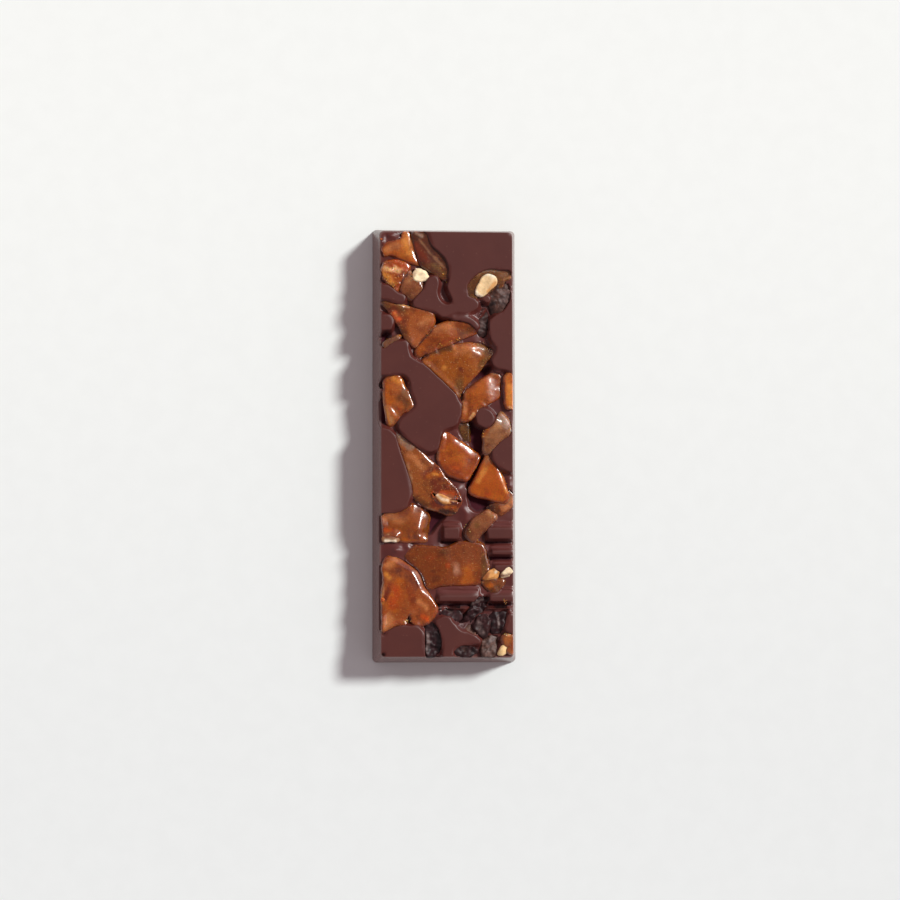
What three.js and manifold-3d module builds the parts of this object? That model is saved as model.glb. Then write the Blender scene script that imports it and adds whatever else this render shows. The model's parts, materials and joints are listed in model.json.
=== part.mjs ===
// A slim bar of dark chocolate, mould side up, with toffee shards, almond
// pieces and dark dried fruit pressed into it. Millimetres, +Z up. The origin
// is the centre of the underside, +Y runs along the bar and +X across it.
import * as THREE from 'three';
import { mergeVertices } from 'three/addons/utils/BufferGeometryUtils.js';
import Module from 'manifold-3d';

const wasm = await Module();
wasm.setup();

// Driving dimensions
const barWidth = 39;
const barLength = 118;
const barHeight = 11;
const draft = 1.7; // how far each side wall leans in from bottom to top
const cornerRadius = 1.2;
const rimRound = 0.35; // rounding of the mould edge
const baseRound = 0.4;
const bedLevel = 9.4; // chocolate that never reached the mould face
const plateauRim = 0.35;
const pieceLevel = 10.8; // top of a piece that lies right under the mould face
const pieceThickness = 3.2;
const pieceBevel = 0.55;
const almondLevel = 10.9;
const almondThickness = 1.8;
const almondBevel = 0.3;
const cornerCut = 0.7;
const longestCut = 0.35; // share of an edge
const clearance = 0.3; // between a piece and its pocket
const pocketLip = 0.5;
const overrun = 2; // how far a cutting solid runs past what it cuts

const colours = {
  chocolate: '#5e3731',
  amber: '#a8601f',
  copper: '#9c4a22',
  umber: '#7c4c2e',
  olive: '#6a5230',
  almond: '#f0cf9a',
  fruit: '#3a2f2d',
  greyFruit: '#5a4c44',
};

// ---- building blocks ----

const toPoint = ([x, y]) => new THREE.Vector2(x, y);

// A closed mesh as a solid that can be cut and joined.
function toSolid(geometry) {
  geometry.deleteAttribute('normal');
  geometry.deleteAttribute('uv');
  const merged = mergeVertices(geometry, 1e-4);
  const vertProperties = new Float32Array(merged.attributes.position.array);
  const triVerts = new Uint32Array(merged.index.array);
  return new wasm.Manifold(new wasm.Mesh({ numProp: 3, vertProperties, triVerts }));
}

function toGeometry(solid) {
  const mesh = solid.getMesh();
  const geometry = new THREE.BufferGeometry();
  geometry.setAttribute('position', new THREE.BufferAttribute(mesh.vertProperties, 3));
  geometry.setIndex(new THREE.BufferAttribute(mesh.triVerts, 1));
  geometry.computeVertexNormals();
  return geometry;
}

function meshOf(name, solid, colour, roughness) {
  const material = new THREE.MeshStandardMaterial({ color: colour, roughness, metalness: 0 });
  const mesh = new THREE.Mesh(toGeometry(solid), material);
  mesh.name = name;
  return mesh;
}

// Two points for each corner, so that a broken edge has blunt corners.
function bluntLoop(corners) {
  const points = corners.map(toPoint);
  return points.flatMap((corner, index) => {
    const before = points.at(index - 1);
    const after = points[(index + 1) % points.length];
    return [before, after].map((next) => {
      const length = corner.distanceTo(next);
      return corner.clone().lerp(next, Math.min(cornerCut, length * longestCut) / length);
    });
  });
}

// A flowing closed line through the corners, with one point between each two.
function flowingLoop(corners) {
  const knots = corners.map(([x, y]) => new THREE.Vector3(x, y, 0));
  const curve = new THREE.CatmullRomCurve3(knots, true, 'centripetal');
  const points = curve.getPoints(corners.length * 2).slice(0, -1);
  return points.map(({ x, y }) => new THREE.Vector2(x, y));
}

function roundedRectangle(width, length, radius, segments = 3) {
  const points = [];
  for (let corner = 0; corner < 4; corner += 1) {
    const side = corner === 0 || corner === 3 ? 1 : -1;
    const end = corner < 2 ? 1 : -1;
    for (let step = 0; step <= segments; step += 1) {
      const angle = (corner + step / segments) * (Math.PI / 2);
      const x = side * (width / 2 - radius) + radius * Math.cos(angle);
      const y = end * (length / 2 - radius) + radius * Math.sin(angle);
      points.push(new THREE.Vector2(x, y));
    }
  }
  return points;
}

// An upright solid whose outline is drawn in by a given inset at each level.
// Every level scales the same outline about its middle, along x and y.
function layeredSlab(points, levels) {
  const steps = levels.length - 1;
  const geometry = new THREE.ExtrudeGeometry(new THREE.Shape(points), {
    depth: steps,
    steps,
    bevelEnabled: false,
  });
  geometry.computeBoundingBox();
  const middle = geometry.boundingBox.getCenter(new THREE.Vector3());
  const size = geometry.boundingBox.getSize(new THREE.Vector3());
  const position = geometry.attributes.position;
  for (let index = 0; index < position.count; index += 1) {
    const { z, inset } = levels[Math.round(position.getZ(index))];
    const x = position.getX(index) - middle.x;
    const y = position.getY(index) - middle.y;
    position.setX(index, middle.x + x * (1 - (2 * inset) / size.x));
    position.setY(index, middle.y + y * (1 - (2 * inset) / size.y));
    position.setZ(index, z);
  }
  return geometry;
}

// The same outline grown outwards, for a pocket.
function grownPrism(points, bottom, top, growth) {
  const geometry = new THREE.ExtrudeGeometry(new THREE.Shape(points), {
    depth: top - bottom - 2 * pocketLip,
    bevelThickness: pocketLip,
    bevelSize: 0,
    bevelOffset: growth,
    bevelSegments: 1,
  });
  geometry.translate(0, 0, bottom + pocketLip);
  return toSolid(geometry);
}

// ---- the moulded block ----

// The outside of the bar: leaning walls, a rounded mould edge and soft base edges.
function mouldedBlock() {
  const lean = draft / barHeight;
  const levels = [
    { z: 0, inset: baseRound },
    { z: baseRound, inset: 0 },
    { z: barHeight - rimRound, inset: draft - lean * rimRound },
    { z: barHeight, inset: draft + rimRound },
  ];
  return toSolid(layeredSlab(roundedRectangle(barWidth, barLength, cornerRadius), levels));
}

// ---- where the chocolate filled the mould: flat plateaus with a rounded rim ----

const plateaus = {
  topRight: [
    [-5.1, 60], [22, 60], [22, 47.1], [14.5, 47.2], [11, 47.1], [7.2, 44.9], [5.2, 41.4], [8, 39.2],
    [9.2, 37.3], [7.5, 35.5], [2.6, 35.1], [1, 39], [0.2, 40.8], [-0.4, 42.5], [0.3, 44.6],
    [0.6, 47.6], [-0.8, 50.3], [-3.3, 52.6], [-4.4, 54.6],
  ],
  topBlob: [
    [-9.7, 38.1], [-8.5, 40], [-6.3, 41.7], [-5.2, 44.9], [-3.6, 45.7], [-2.1, 44.9], [-1.7, 43],
    [-2.1, 41.1], [-1.6, 39.2], [-0.4, 38.1], [2.6, 37.9], [3.7, 35.7], [1, 34.5], [-1.2, 33.6],
    [-3.3, 35.2], [-6, 36.1], [-9.1, 36.8],
  ],
  leftUpper: [
    [-22, 43.5], [-16, 42.9], [-13.1, 41.1], [-11, 39.5], [-11, 38], [-13.3, 37.7], [-16.3, 38.6],
    [-22, 39],
  ],
  leftSmall: [
    [-22, 35], [-16, 35.1], [-14.8, 34.1], [-14.1, 32.2], [-14.8, 30.3], [-16.3, 30], [-22, 30.3],
  ],
  centre: [
    [-22, 24.5], [-16.6, 26.1], [-13.3, 27.7], [-11.4, 28.1], [-10.1, 26.5], [-9.5, 23.8],
    [-7.7, 22.6], [-5, 21.1], [-1.4, 17.3], [2.3, 13.7], [4, 10.9], [3.6, 6.5], [2.1, 4.2],
    [-0.9, 3.3], [-1.7, 0.9], [-2.5, -1.8], [-4.4, -2.8], [-6.6, -1.8], [-9.8, 0.3], [-12, 2.4],
    [-13.6, 4.2], [-12.5, 6.8], [-9.8, 8.8], [-8.6, 10.6], [-9.8, 13.8], [-10.6, 17.1],
    [-12, 18.3], [-14.7, 18.4], [-17.1, 17.9], [-22, 17.3],
  ],
  right: [
    [22, 40], [17.2, 39.5], [16.1, 37.6], [15, 35.6], [12.9, 35], [11.7, 33.8], [11.4, 30.9],
    [11.5, 27.9], [13.1, 26.1], [12.9, 24.4], [11.8, 22.5], [12.3, 20.7], [14.5, 19.8], [22, 19.6],
  ],
  leftLower: [
    [-22, 4.1], [-15.5, 4.2], [-13.6, 2.2], [-12.5, -1.6], [-11.2, -6.2], [-10, -10.2],
    [-9.5, -13.7], [-10, -16.2], [-12.3, -18], [-15, -18.6], [-22, -18.6],
  ],
  rightLower: [
    [22, 2.8], [17.2, 2.6], [14.5, 0.7], [12.1, -1.6], [11.8, -3.3], [12.9, -5.2], [14.8, -7],
    [16.4, -7.9], [22, -7.9],
  ],
  bottomLeft: [
    [-22, -51.8], [-17.4, -50.7], [-15, -49.4], [-12.5, -48.8], [-9.3, -48.6], [-7.1, -49.2],
    [-6.2, -50.5], [-6.2, -54.2], [-6.2, -61], [-22, -61],
  ],
  bottomMiddle: [
    [-3.6, -47.6], [-1.7, -46.3], [0.4, -46.3], [1.9, -47.8], [2.9, -49.2], [5, -50.5],
    [7.7, -51.5], [9.2, -52.4], [9, -54.1], [6.4, -54.1], [3.7, -54.4], [2.1, -55.2],
    [1.8, -56.3], [2.9, -61], [-2.8, -61], [-1.4, -56.1], [-1.4, -52.9], [-2.4, -49.7],
  ],
  bottomRight: [[22, -45.5], [16.2, -45.7], [16.1, -48], [15.4, -50.7], [22, -51.1]],
  film: [
    [0.7, 34.1], [3.1, 34.6], [5.8, 34.4], [8, 33.3], [8.6, 31.7], [7.7, 30.3], [6.7, 31.7],
    [4, 32.9], [1.5, 33.3],
  ],
  upperButton: [[9.2, 39.2], [9.9, 40.3], [11.1, 40.6], [12.2, 39.5], [11.9, 38.1], [10.7, 37.6]],
  lowerButton: [
    [10.7, 9.8], [12.3, 9], [13.1, 7.6], [12.9, 6.3], [11.8, 4.9], [10.4, 4], [9.1, 4], [8, 4.9],
    [7.5, 6.3], [7.7, 7.9], [8.8, 9.2],
  ],
};

function plateauSolid(corners) {
  const bottom = bedLevel - 1;
  const geometry = new THREE.ExtrudeGeometry(new THREE.Shape(flowingLoop(corners)), {
    depth: barHeight - bottom - 2 * plateauRim,
    bevelThickness: plateauRim,
    bevelSize: plateauRim,
    bevelOffset: -plateauRim,
    bevelSegments: 1,
  });
  geometry.translate(0, 0, bottom + plateauRim);
  return toSolid(geometry);
}

// ---- the ribs of the mould, seen where no toffee hides them ----

const ribStep = 4.17;
const firstRib = -26.2; // lower edge of the upper rib
const ribs = [
  { row: 0, face: 3.4, ramp: 1, spans: [[-1.2, 3.7], [10.7, 21]] },
  { row: 1, face: 1.5, ramp: 1, spans: [[11.8, 21]] },
  { row: 2, face: 1.8, ramp: 0.6, spans: [[12.6, 21]] },
  { row: 4, face: 1.8, ramp: 1.7, spans: [[-2.6, 8.8], [11.3, 21]] },
  { row: 4.42, face: 0.5, ramp: 0.3, spans: [[-2, 6.7], [10.4, 21]] },
];
const ribLevel = 10.9;
const ledgeLevel = 10.1;
const ledgeWidth = 0.8;
const ribEdge = 0.2;
const ribEndRadius = 0.7;

// A flat face, a ramp down from its upper edge, and a low ledge beyond the ramp.
function ribSolid({ row, face, ramp }, [left, right]) {
  const lower = firstRib - row * ribStep;
  const upper = lower + face;
  const ledge = upper + ramp;
  const floor = bedLevel - 1;
  const profile = [
    [lower, floor], [lower, ribLevel - ribEdge], [lower + ribEdge, ribLevel], [upper, ribLevel],
    [ledge, ledgeLevel - ribEdge], [ledge + ribEdge, ledgeLevel],
    [ledge + ledgeWidth - ribEdge, ledgeLevel], [ledge + ledgeWidth, bedLevel],
    [ledge + ledgeWidth, floor],
  ];
  const length = right - left;
  const geometry = new THREE.ExtrudeGeometry(new THREE.Shape(profile.map(toPoint)), {
    depth: length,
    bevelEnabled: false,
  });
  // profile x, y, z become the bar's y, z, x
  geometry.applyMatrix4(new THREE.Matrix4().set(0, 0, 1, left, 1, 0, 0, 0, 0, 1, 0, 0, 0, 0, 0, 1));
  const depth = ledge + ledgeWidth - lower;
  const middle = new THREE.Vector2((left + right) / 2, lower + depth / 2);
  const plan = roundedRectangle(length, depth, ribEndRadius, 2).map((point) => point.add(middle));
  return toSolid(geometry).intersect(grownPrism(plan, floor - 1, barHeight + 1, 0));
}

// ---- hollows that the chocolate left between the pieces ----

const pitLevel = 7.6;
const pits = [
  [[-3.6, 34.6], [-1.4, 33.4], [1, 34.1], [0.5, 33.2], [-2.3, 32.2], [-3.6, 31.4]],
  [[4.5, 14.6], [5.3, 16.5], [8, 18.4], [11.2, 21.1], [12.3, 20.6], [10.7, 18.9], [7.5, 17.1]],
  [[6.4, 6.5], [8, 4.9], [9.9, 3.8], [9.6, -0.5], [9.1, -2.9], [7.5, -1.6], [6.4, 0.1]],
  [[8.6, -3.7], [10.7, -3.2], [9.1, -5.9], [7.5, -9.1], [5.8, -12.1], [5.3, -10.8], [7.5, -7.5]],
  [[5.8, -12.6], [7.5, -14.3], [10.7, -15.1], [11.8, -16.2], [8.6, -18.3], [6.4, -17.2]],
  [[-5, -17.2], [-2.8, -18.7], [0.2, -18.9], [-2.5, -21.8], [-4.4, -24.5], [-4.7, -22.6]],
  [[-17.4, 17], [-16.6, 16.4], [-16.9, 13.3], [-16.6, 9.2], [-15.8, 5.5], [-17.3, 5.5]],
  [[-17.2, 30], [-15.2, 30], [-16.3, 27.3], [-17.2, 27.3]],
];

// The wall stops short beside two shards on the left, and shows their sides.
const wallNotches = [
  { upper: -18.7, lower: -26.9 },
  { upper: -32, lower: -51 },
];
const notchFloor = 7.7;
const notchFace = 17.5;

function notchSolid({ upper, lower }) {
  const depth = barWidth / 2 - notchFace + overrun;
  const rise = barHeight - notchFloor + overrun;
  const geometry = new THREE.BoxGeometry(depth, upper - lower, rise);
  geometry.translate(-notchFace - depth / 2, (upper + lower) / 2, notchFloor + rise / 2);
  return toSolid(geometry);
}

// ---- the pieces, from the top of the bar to its bottom ----

const almonds = {
  almond_1: [[-8.5, 46.8], [-6.3, 46.9], [-5.1, 45.7], [-5.4, 44.4], [-7.7, 43.8], [-9, 44.7]],
  almond_2: [
    [10.2, 45.3], [12.1, 45.7], [13.7, 44.1], [12.3, 42.6], [10.4, 40.7], [8.8, 40], [8, 41.1],
    [9.1, 43.3],
  ],
  almond_3: [[-2.7, -14.1], [-1.4, -14], [0.2, -14.8], [1.8, -14.9], [2.1, -15.7], [-1.2, -15.8]],
  almond_4: [[-17.1, -25.3], [-16, -24.8], [-14.7, -24.7], [-13.4, -25.3], [-12.9, -26.3], [-17, -26.3]],
  almond_5: [[9.5, -36.7], [10.2, -35.3], [11.8, -34], [13.4, -34], [13.8, -35.6], [12.3, -36.4]],
  almond_6: [[14.6, -35.7], [15.6, -34.4], [16.5, -33.2], [17.7, -33.8], [17.9, -34.9], [15.3, -36]],
  almond_7: [[15.8, -54], [16.5, -54.7], [15.7, -56.6], [13.7, -56.8], [14.2, -55.3], [14.9, -54.4]],
};

const toffees = {
  toffee_01: {
    colour: 'amber',
    corners: [
      [-11.7, 58], [-9.8, 58], [-8.9, 54.9], [-7.9, 52.2], [-7.3, 48.7], [-9.5, 48.8], [-12, 49.8],
      [-15.2, 51], [-17.1, 50.8], [-17.5, 52.2], [-16.3, 54.2], [-12.2, 55.4],
    ],
  },
  toffee_02: {
    colour: 'copper',
    corners: [
      [-16.6, 49.1], [-13.6, 49.8], [-10.6, 49], [-10, 47.5], [-12.4, 44.1], [-13.5, 41.3],
      [-15.8, 43], [-17.8, 45.7], [-17.8, 47.9],
    ],
  },
  toffee_03: {
    colour: 'umber',
    level: 10.6,
    corners: [
      [-9.6, 47.2], [-5.8, 47.3], [-5, 45.4], [-5.9, 43.8], [-6.3, 41.9], [-9.5, 38.6],
      [-12.4, 41.1], [-12, 43.5],
    ],
  },
  toffee_04: {
    colour: 'umber',
    level: 10.5,
    lean: [-0.05, -0.03],
    corners: [
      [-9.3, 58], [-6.1, 58], [-4.4, 53.5], [-0.9, 50.6], [0.4, 47.9], [0.1, 44.6], [-1.4, 45.2],
      [-4.4, 47.2], [-7, 48.8], [-7.7, 51.9],
    ],
  },
  toffee_05: {
    colour: 'olive',
    level: 10.3,
    corners: [
      [8.6, 46], [11, 47.1], [17.6, 46.8], [17.5, 45.3], [14.8, 43.8], [11.8, 41.1], [9.1, 39.5],
      [6.4, 39.5], [5.4, 40.8], [5.8, 43.5],
    ],
  },
  toffee_06: {
    colour: 'umber',
    corners: [
      [-17.7, 38.2], [-9.3, 36.7], [-3.9, 35.2], [-3.2, 33.6], [-4.1, 31.1], [-8.5, 25.9],
      [-10.9, 27.9], [-12.8, 31.3], [-15, 35],
    ],
  },
  toffee_07: {
    colour: 'umber',
    corners: [[-12.8, 29.4], [-12.7, 28.6], [-15.2, 27.2], [-17.1, 25.4], [-17.8, 25.8], [-16.3, 27.7]],
  },
  toffee_08: {
    colour: 'amber',
    lean: [0.02, -0.05],
    corners: [
      [-8.5, 25.2], [-6.7, 27.5], [-4.1, 30.2], [-3.3, 31.8], [-0.4, 33], [3.7, 33.1], [6.7, 32.1],
      [8.1, 30], [2.3, 27.3], [-2.8, 25.2], [-7.9, 23.2],
    ],
  },
  toffee_09: {
    colour: 'amber',
    lean: [0.02, 0.02],
    corners: [
      [-6.8, 22.3], [-4.4, 24.4], [-0.1, 26.1], [3.7, 27.1], [9.1, 27.5], [11.8, 26.5], [12.9, 25.2],
      [8.6, 19.2], [4.8, 15.2], [3.6, 12.5], [-1.7, 17.6],
    ],
  },
  toffee_10: {
    colour: 'amber',
    corners: [
      [-16.8, 17.1], [-13.9, 18.3], [-12.3, 17.7], [-10, 13.3], [-9, 10.7], [-9.8, 9.2],
      [-12.3, 8], [-14.8, 4.8], [-16, 5.5], [-17, 12.3],
    ],
  },
  toffee_11: {
    colour: 'amber',
    corners: [
      [13.1, 19.5], [15.2, 18.7], [14.7, 13], [11.8, 10.9], [8.6, 9.7], [6.7, 6.7], [4.1, 6.4],
      [4.1, 9.2], [5, 14.1], [10.2, 18],
    ],
  },
  toffee_12: {
    colour: 'amber',
    level: 10.9,
    corners: [[15.8, 18.4], [19, 19], [19, 9.2], [16.7, 9.4], [15.7, 11.1], [15.3, 14.6]],
  },
  toffee_13: {
    colour: 'umber',
    corners: [
      [14.5, 8.4], [16.5, 7.6], [17.7, 5.2], [17.5, 2.8], [14.5, 0.9], [11, -2.9], [9.9, -2],
      [9.9, 3], [12.7, 5.1],
    ],
  },
  toffee_14: {
    colour: 'olive',
    level: 9.6,
    corners: [[2.9, 5.5], [4.5, 6.1], [6.3, 5.5], [6.4, 1.1], [5.8, 0.3], [3.7, 1.9]],
  },
  toffee_15: {
    colour: 'amber',
    lean: [0, -0.03],
    corners: [
      [-1.2, 2.9], [0.4, 2.8], [3.4, 1], [6.4, -1.2], [8.8, -3.2], [8, -6], [5.6, -9.8],
      [3.4, -9.7], [0.2, -8.3], [-1.7, -6.2], [-2.5, -3.7],
    ],
  },
  toffee_16: {
    colour: 'amber',
    corners: [
      [-13.9, 3.3], [-8.7, -0.8], [-5.8, -3.2], [-2.5, -5.9], [-0.1, -9.4], [3.1, -12.9],
      [3.7, -15.6], [2.9, -17.9], [0.7, -19.2], [-6, -17.1], [-9, -14.8], [-9.4, -11],
      [-11, -6.2], [-12.7, -1.3],
    ],
  },
  toffee_17: {
    colour: 'amber',
    lean: [-0.03, 0.02],
    corners: [
      [10.8, -3.1], [12.3, -4.8], [14.2, -7], [15.6, -9.7], [16.7, -13.7], [15.8, -15.6],
      [14, -15.7], [7.5, -14], [6, -12.5], [7.7, -9.1], [9.4, -5.6],
    ],
  },
  toffee_18: {
    colour: 'umber',
    level: 10.3,
    corners: [
      [16.7, -11.9], [17.7, -12.6], [19, -14.3], [19, -16.4], [16.7, -18.2], [14.2, -19.4],
      [11.4, -17.8], [11.3, -16.6], [16.5, -15.9],
    ],
  },
  toffee_19: {
    colour: 'umber',
    level: 10.9,
    corners: [
      [10.7, -18], [12.1, -18.2], [13.7, -19.7], [7.9, -25.9], [6.5, -26.2], [4.8, -23.9],
      [6.9, -20.5],
    ],
  },
  toffee_20: {
    colour: 'amber',
    corners: [
      [-17.8, -18.9], [-13.6, -19], [-11.2, -17.8], [-9, -16.3], [-7.1, -17.1], [-4.7, -19.4],
      [-5, -25.1], [-5.6, -26.4], [-9.3, -26.6], [-17.1, -26.4], [-17.4, -23.2],
    ],
  },
  toffee_21: {
    colour: 'amber',
    corners: [
      [-17.9, -33.2], [-16, -30.6], [-13.1, -30.7], [-8.7, -33.3], [-6.8, -35.2], [-6.3, -38],
      [-4, -41.5], [-2.5, -44.7], [-4.3, -47.5], [-5.8, -48.6], [-8.7, -48.4], [-9.8, -45.9],
      [-10.9, -48.3], [-14.4, -49.1], [-16.8, -50.7], [-17.7, -47.5], [-17.8, -39.4],
      [-17.1, -36.7],
    ],
  },
  toffee_22: {
    colour: 'umber',
    level: 10.6,
    corners: [
      [-11.4, -30.6], [-9.8, -28.3], [-7.7, -27.4], [-0.4, -28], [2.6, -26.8], [6.4, -26.1],
      [9.4, -26.7], [10.6, -28.3], [11.8, -33.7], [8.6, -38], [-1.7, -38.3], [-5, -39.4],
      [-6.8, -34.9],
    ],
  },
  toffee_23: {
    colour: 'umber',
    level: 10.3,
    corners: [[9.6, -37.2], [14, -36.3], [15.6, -36.7], [14.5, -39.1], [12.9, -40.3], [11.1, -39.5]],
  },
  toffee_24: {
    colour: 'amber',
    corners: [[15.3, -51.5], [19, -51.1], [19, -56.8], [16.1, -56.8], [16.5, -54.7], [14.8, -54.4]],
  },
};

const fruits = {
  fruit_01: {
    colour: 'fruit',
    level: 10.5,
    corners: [
      [14.5, 43.5], [16.4, 44], [17.5, 42.5], [17.3, 39.2], [15, 35.6], [12.9, 35.4],
      [11.5, 37.1], [12.3, 40],
    ],
  },
  fruit_02: {
    colour: 'fruit',
    level: 9.9,
    corners: [[9.5, 37.1], [10.6, 36.9], [11.4, 34.6], [11.3, 30.3], [10.6, 28.8], [9.4, 28.7], [8.4, 30]],
  },
  fruit_03: {
    colour: 'fruit',
    level: 10.7,
    corners: [
      [-5.6, -48.2], [-3.9, -48], [-2.5, -49.5], [-1.7, -52.1], [-1.6, -55.6], [-3.9, -58],
      [-5.8, -58], [-5.9, -52.9],
    ],
  },
  fruit_04: {
    colour: 'fruit',
    level: 10.3,
    corners: [[-1.4, -44.8], [-0.4, -44.1], [1.5, -44.4], [3.1, -46], [2.6, -47], [-1.3, -45.9]],
  },
  fruit_05: {
    colour: 'fruit',
    level: 10.9,
    corners: [
      [9.1, -40.9], [11.3, -40.7], [11.3, -42.4], [9.9, -45.5], [7.7, -45.9], [4.8, -48.6],
      [3.1, -48.8], [2.5, -47.9], [6.4, -43.8],
    ],
  },
  fruit_06: {
    colour: 'fruit',
    level: 10.8,
    corners: [
      [8.1, -46.1], [10.2, -45.7], [11.4, -46.7], [11.4, -49.7], [10.7, -51.3], [9.1, -51.3],
      [7, -48.8],
    ],
  },
  fruit_07: {
    colour: 'fruit',
    level: 10.8,
    corners: [[11.8, -46.4], [12.6, -45.5], [15.8, -45.3], [15.8, -47.5], [14.4, -51.3], [12.1, -51]],
  },
  fruit_08: {
    colour: 'greyFruit',
    level: 10.5,
    corners: [
      [9.5, -52.4], [11.3, -51.7], [13.4, -51.5], [14.5, -52.6], [12.9, -58], [9.4, -58],
      [8.9, -55.6],
    ],
  },
  fruit_09: {
    colour: 'fruit',
    level: 10.6,
    corners: [[2.1, -55.6], [3.4, -54.5], [5.3, -54.2], [7.7, -54.9], [7.1, -57.5], [3.1, -57.5]],
  },
  fruit_10: {
    colour: 'greyFruit',
    level: 10.2,
    corners: [[4.5, -49.7], [5.6, -48.6], [6.6, -48.9], [8.8, -51.5], [6.9, -51.3]],
  },
};

// Raises the upper face of a slab along x and y, so that it leans.
function leanTop(geometry, middleLevel, [alongX, alongY]) {
  const middle = geometry.boundingBox.getCenter(new THREE.Vector3());
  const position = geometry.attributes.position;
  for (let index = 0; index < position.count; index += 1) {
    const x = position.getX(index) - middle.x;
    const y = position.getY(index) - middle.y;
    const z = position.getZ(index);
    if (z > middleLevel) {
      position.setZ(index, z + alongX * x + alongY * y);
    }
  }
  return geometry;
}

// A piece comes with the pocket that it lies in and the column that its
// neighbours keep out of.
function pieceSolids(points, { top, thickness, bevel, lean = [0, 0] }) {
  const bottom = top - thickness;
  const slab = layeredSlab(points, [
    { z: bottom, inset: bevel },
    { z: bottom + bevel, inset: 0 },
    { z: top - bevel, inset: 0 },
    { z: top, inset: bevel },
  ]);
  return {
    body: toSolid(leanTop(slab, top - thickness / 2, lean)),
    pocket: grownPrism(points, bottom - clearance, barHeight + overrun, clearance),
    column: grownPrism(points, -overrun, barHeight + overrun, clearance),
  };
}

// ---- assembly ----

const block = mouldedBlock();
const bar = new THREE.Group();
bar.name = 'chocolate_bar';
const pockets = [];
const almondPockets = [];
const columns = [];

// Cuts a piece flush with the bar's walls and clear of the earlier pieces.
function placePiece(name, solids, colour, roughness) {
  const earlier = [...columns, ...almondPockets];
  const body = earlier.reduce((rest, cutter) => rest.subtract(cutter), solids.body.intersect(block));
  bar.add(meshOf(name, body, colours[colour], roughness));
  pockets.push(solids.pocket);
}

for (const [name, corners] of Object.entries(almonds)) {
  const solids = pieceSolids(bluntLoop(corners), {
    top: almondLevel,
    thickness: almondThickness,
    bevel: almondBevel,
  });
  placePiece(name, solids, 'almond', 0.6);
  almondPockets.push(solids.pocket);
}

function placeKind(pieces, roughness) {
  for (const [name, { corners, colour, level = pieceLevel, lean }] of Object.entries(pieces)) {
    const solids = pieceSolids(bluntLoop(corners), {
      top: level,
      thickness: pieceThickness,
      bevel: pieceBevel,
      lean,
    });
    placePiece(name, solids, colour, roughness);
    columns.push(solids.column);
  }
}

placeKind(toffees, 0.25);
placeKind(fruits, 0.5);

function chocolateSolid() {
  const bed = new THREE.BoxGeometry(barWidth + overrun, barLength + overrun, bedLevel + overrun);
  bed.translate(0, 0, (bedLevel - overrun) / 2);
  const raised = [
    ...Object.values(plateaus).map(plateauSolid),
    ...ribs.flatMap((rib) => rib.spans.map((span) => ribSolid(rib, span))),
  ];
  const hollows = [
    ...pits.map((corners) => grownPrism(flowingLoop(corners), pitLevel, barHeight + overrun, 0)),
    ...wallNotches.map(notchSolid),
    ...pockets,
  ];
  const whole = raised.reduce((sum, solid) => sum.add(solid), toSolid(bed)).intersect(block);
  return hollows.reduce((rest, hollow) => rest.subtract(hollow), whole);
}

bar.add(meshOf('chocolate', chocolateSolid(), colours.chocolate, 0.35));

export default bar;
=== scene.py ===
# A slim bar of dark chocolate, mould side up, with toffee shards, almond pieces and dark fruit set in it.
import json
import math
from itertools import combinations, product

import bpy
import numpy as np
from mathutils import Matrix, Vector
from mathutils.bvhtree import BVHTree

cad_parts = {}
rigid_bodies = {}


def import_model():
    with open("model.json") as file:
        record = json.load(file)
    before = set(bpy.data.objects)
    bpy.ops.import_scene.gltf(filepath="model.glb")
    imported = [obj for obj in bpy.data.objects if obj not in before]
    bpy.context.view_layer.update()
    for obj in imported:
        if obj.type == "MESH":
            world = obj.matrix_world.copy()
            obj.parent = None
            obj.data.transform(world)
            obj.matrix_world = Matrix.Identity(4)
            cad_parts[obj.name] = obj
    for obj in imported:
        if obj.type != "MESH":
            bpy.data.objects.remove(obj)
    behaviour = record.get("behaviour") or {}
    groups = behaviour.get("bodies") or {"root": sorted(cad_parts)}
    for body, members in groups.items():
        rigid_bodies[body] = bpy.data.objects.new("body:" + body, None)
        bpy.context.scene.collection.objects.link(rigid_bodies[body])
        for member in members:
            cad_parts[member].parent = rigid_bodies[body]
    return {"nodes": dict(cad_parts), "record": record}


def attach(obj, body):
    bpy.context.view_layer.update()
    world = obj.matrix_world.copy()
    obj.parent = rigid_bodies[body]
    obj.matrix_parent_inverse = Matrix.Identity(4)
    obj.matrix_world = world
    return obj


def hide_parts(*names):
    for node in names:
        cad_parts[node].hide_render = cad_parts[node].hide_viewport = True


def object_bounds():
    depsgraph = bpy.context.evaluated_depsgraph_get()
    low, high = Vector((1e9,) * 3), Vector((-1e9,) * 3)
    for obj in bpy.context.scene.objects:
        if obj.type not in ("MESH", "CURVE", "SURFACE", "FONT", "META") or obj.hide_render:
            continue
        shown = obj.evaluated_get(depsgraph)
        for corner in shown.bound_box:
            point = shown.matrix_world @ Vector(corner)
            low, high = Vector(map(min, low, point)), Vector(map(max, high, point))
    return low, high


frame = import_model()
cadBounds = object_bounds()
nodes = frame["nodes"]
mm = 0.001  # every length below is in millimetres until a mesh or a lamp is made

low, high = (np.array(corner) / mm for corner in cadBounds)
barWidth, barLength, barHeight = high - low
lightBearing = math.radians(31)  # where the key light stands, from +X towards +Y
lightHeight = math.radians(39.4)
towardsLight = np.array([math.cos(lightBearing), math.sin(lightBearing)])
shineSlope = 0.404  # a surface that falls this much towards the light mirrors it to the camera
farOff = 1e9


# small tools

def colour(code):
    shares = [int(code[i:i + 2], 16) / 255 for i in (1, 3, 5)]
    return (*[s / 12.92 if s <= 0.04045 else ((s + 0.055) / 1.055) ** 2.4 for s in shares], 1)


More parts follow.
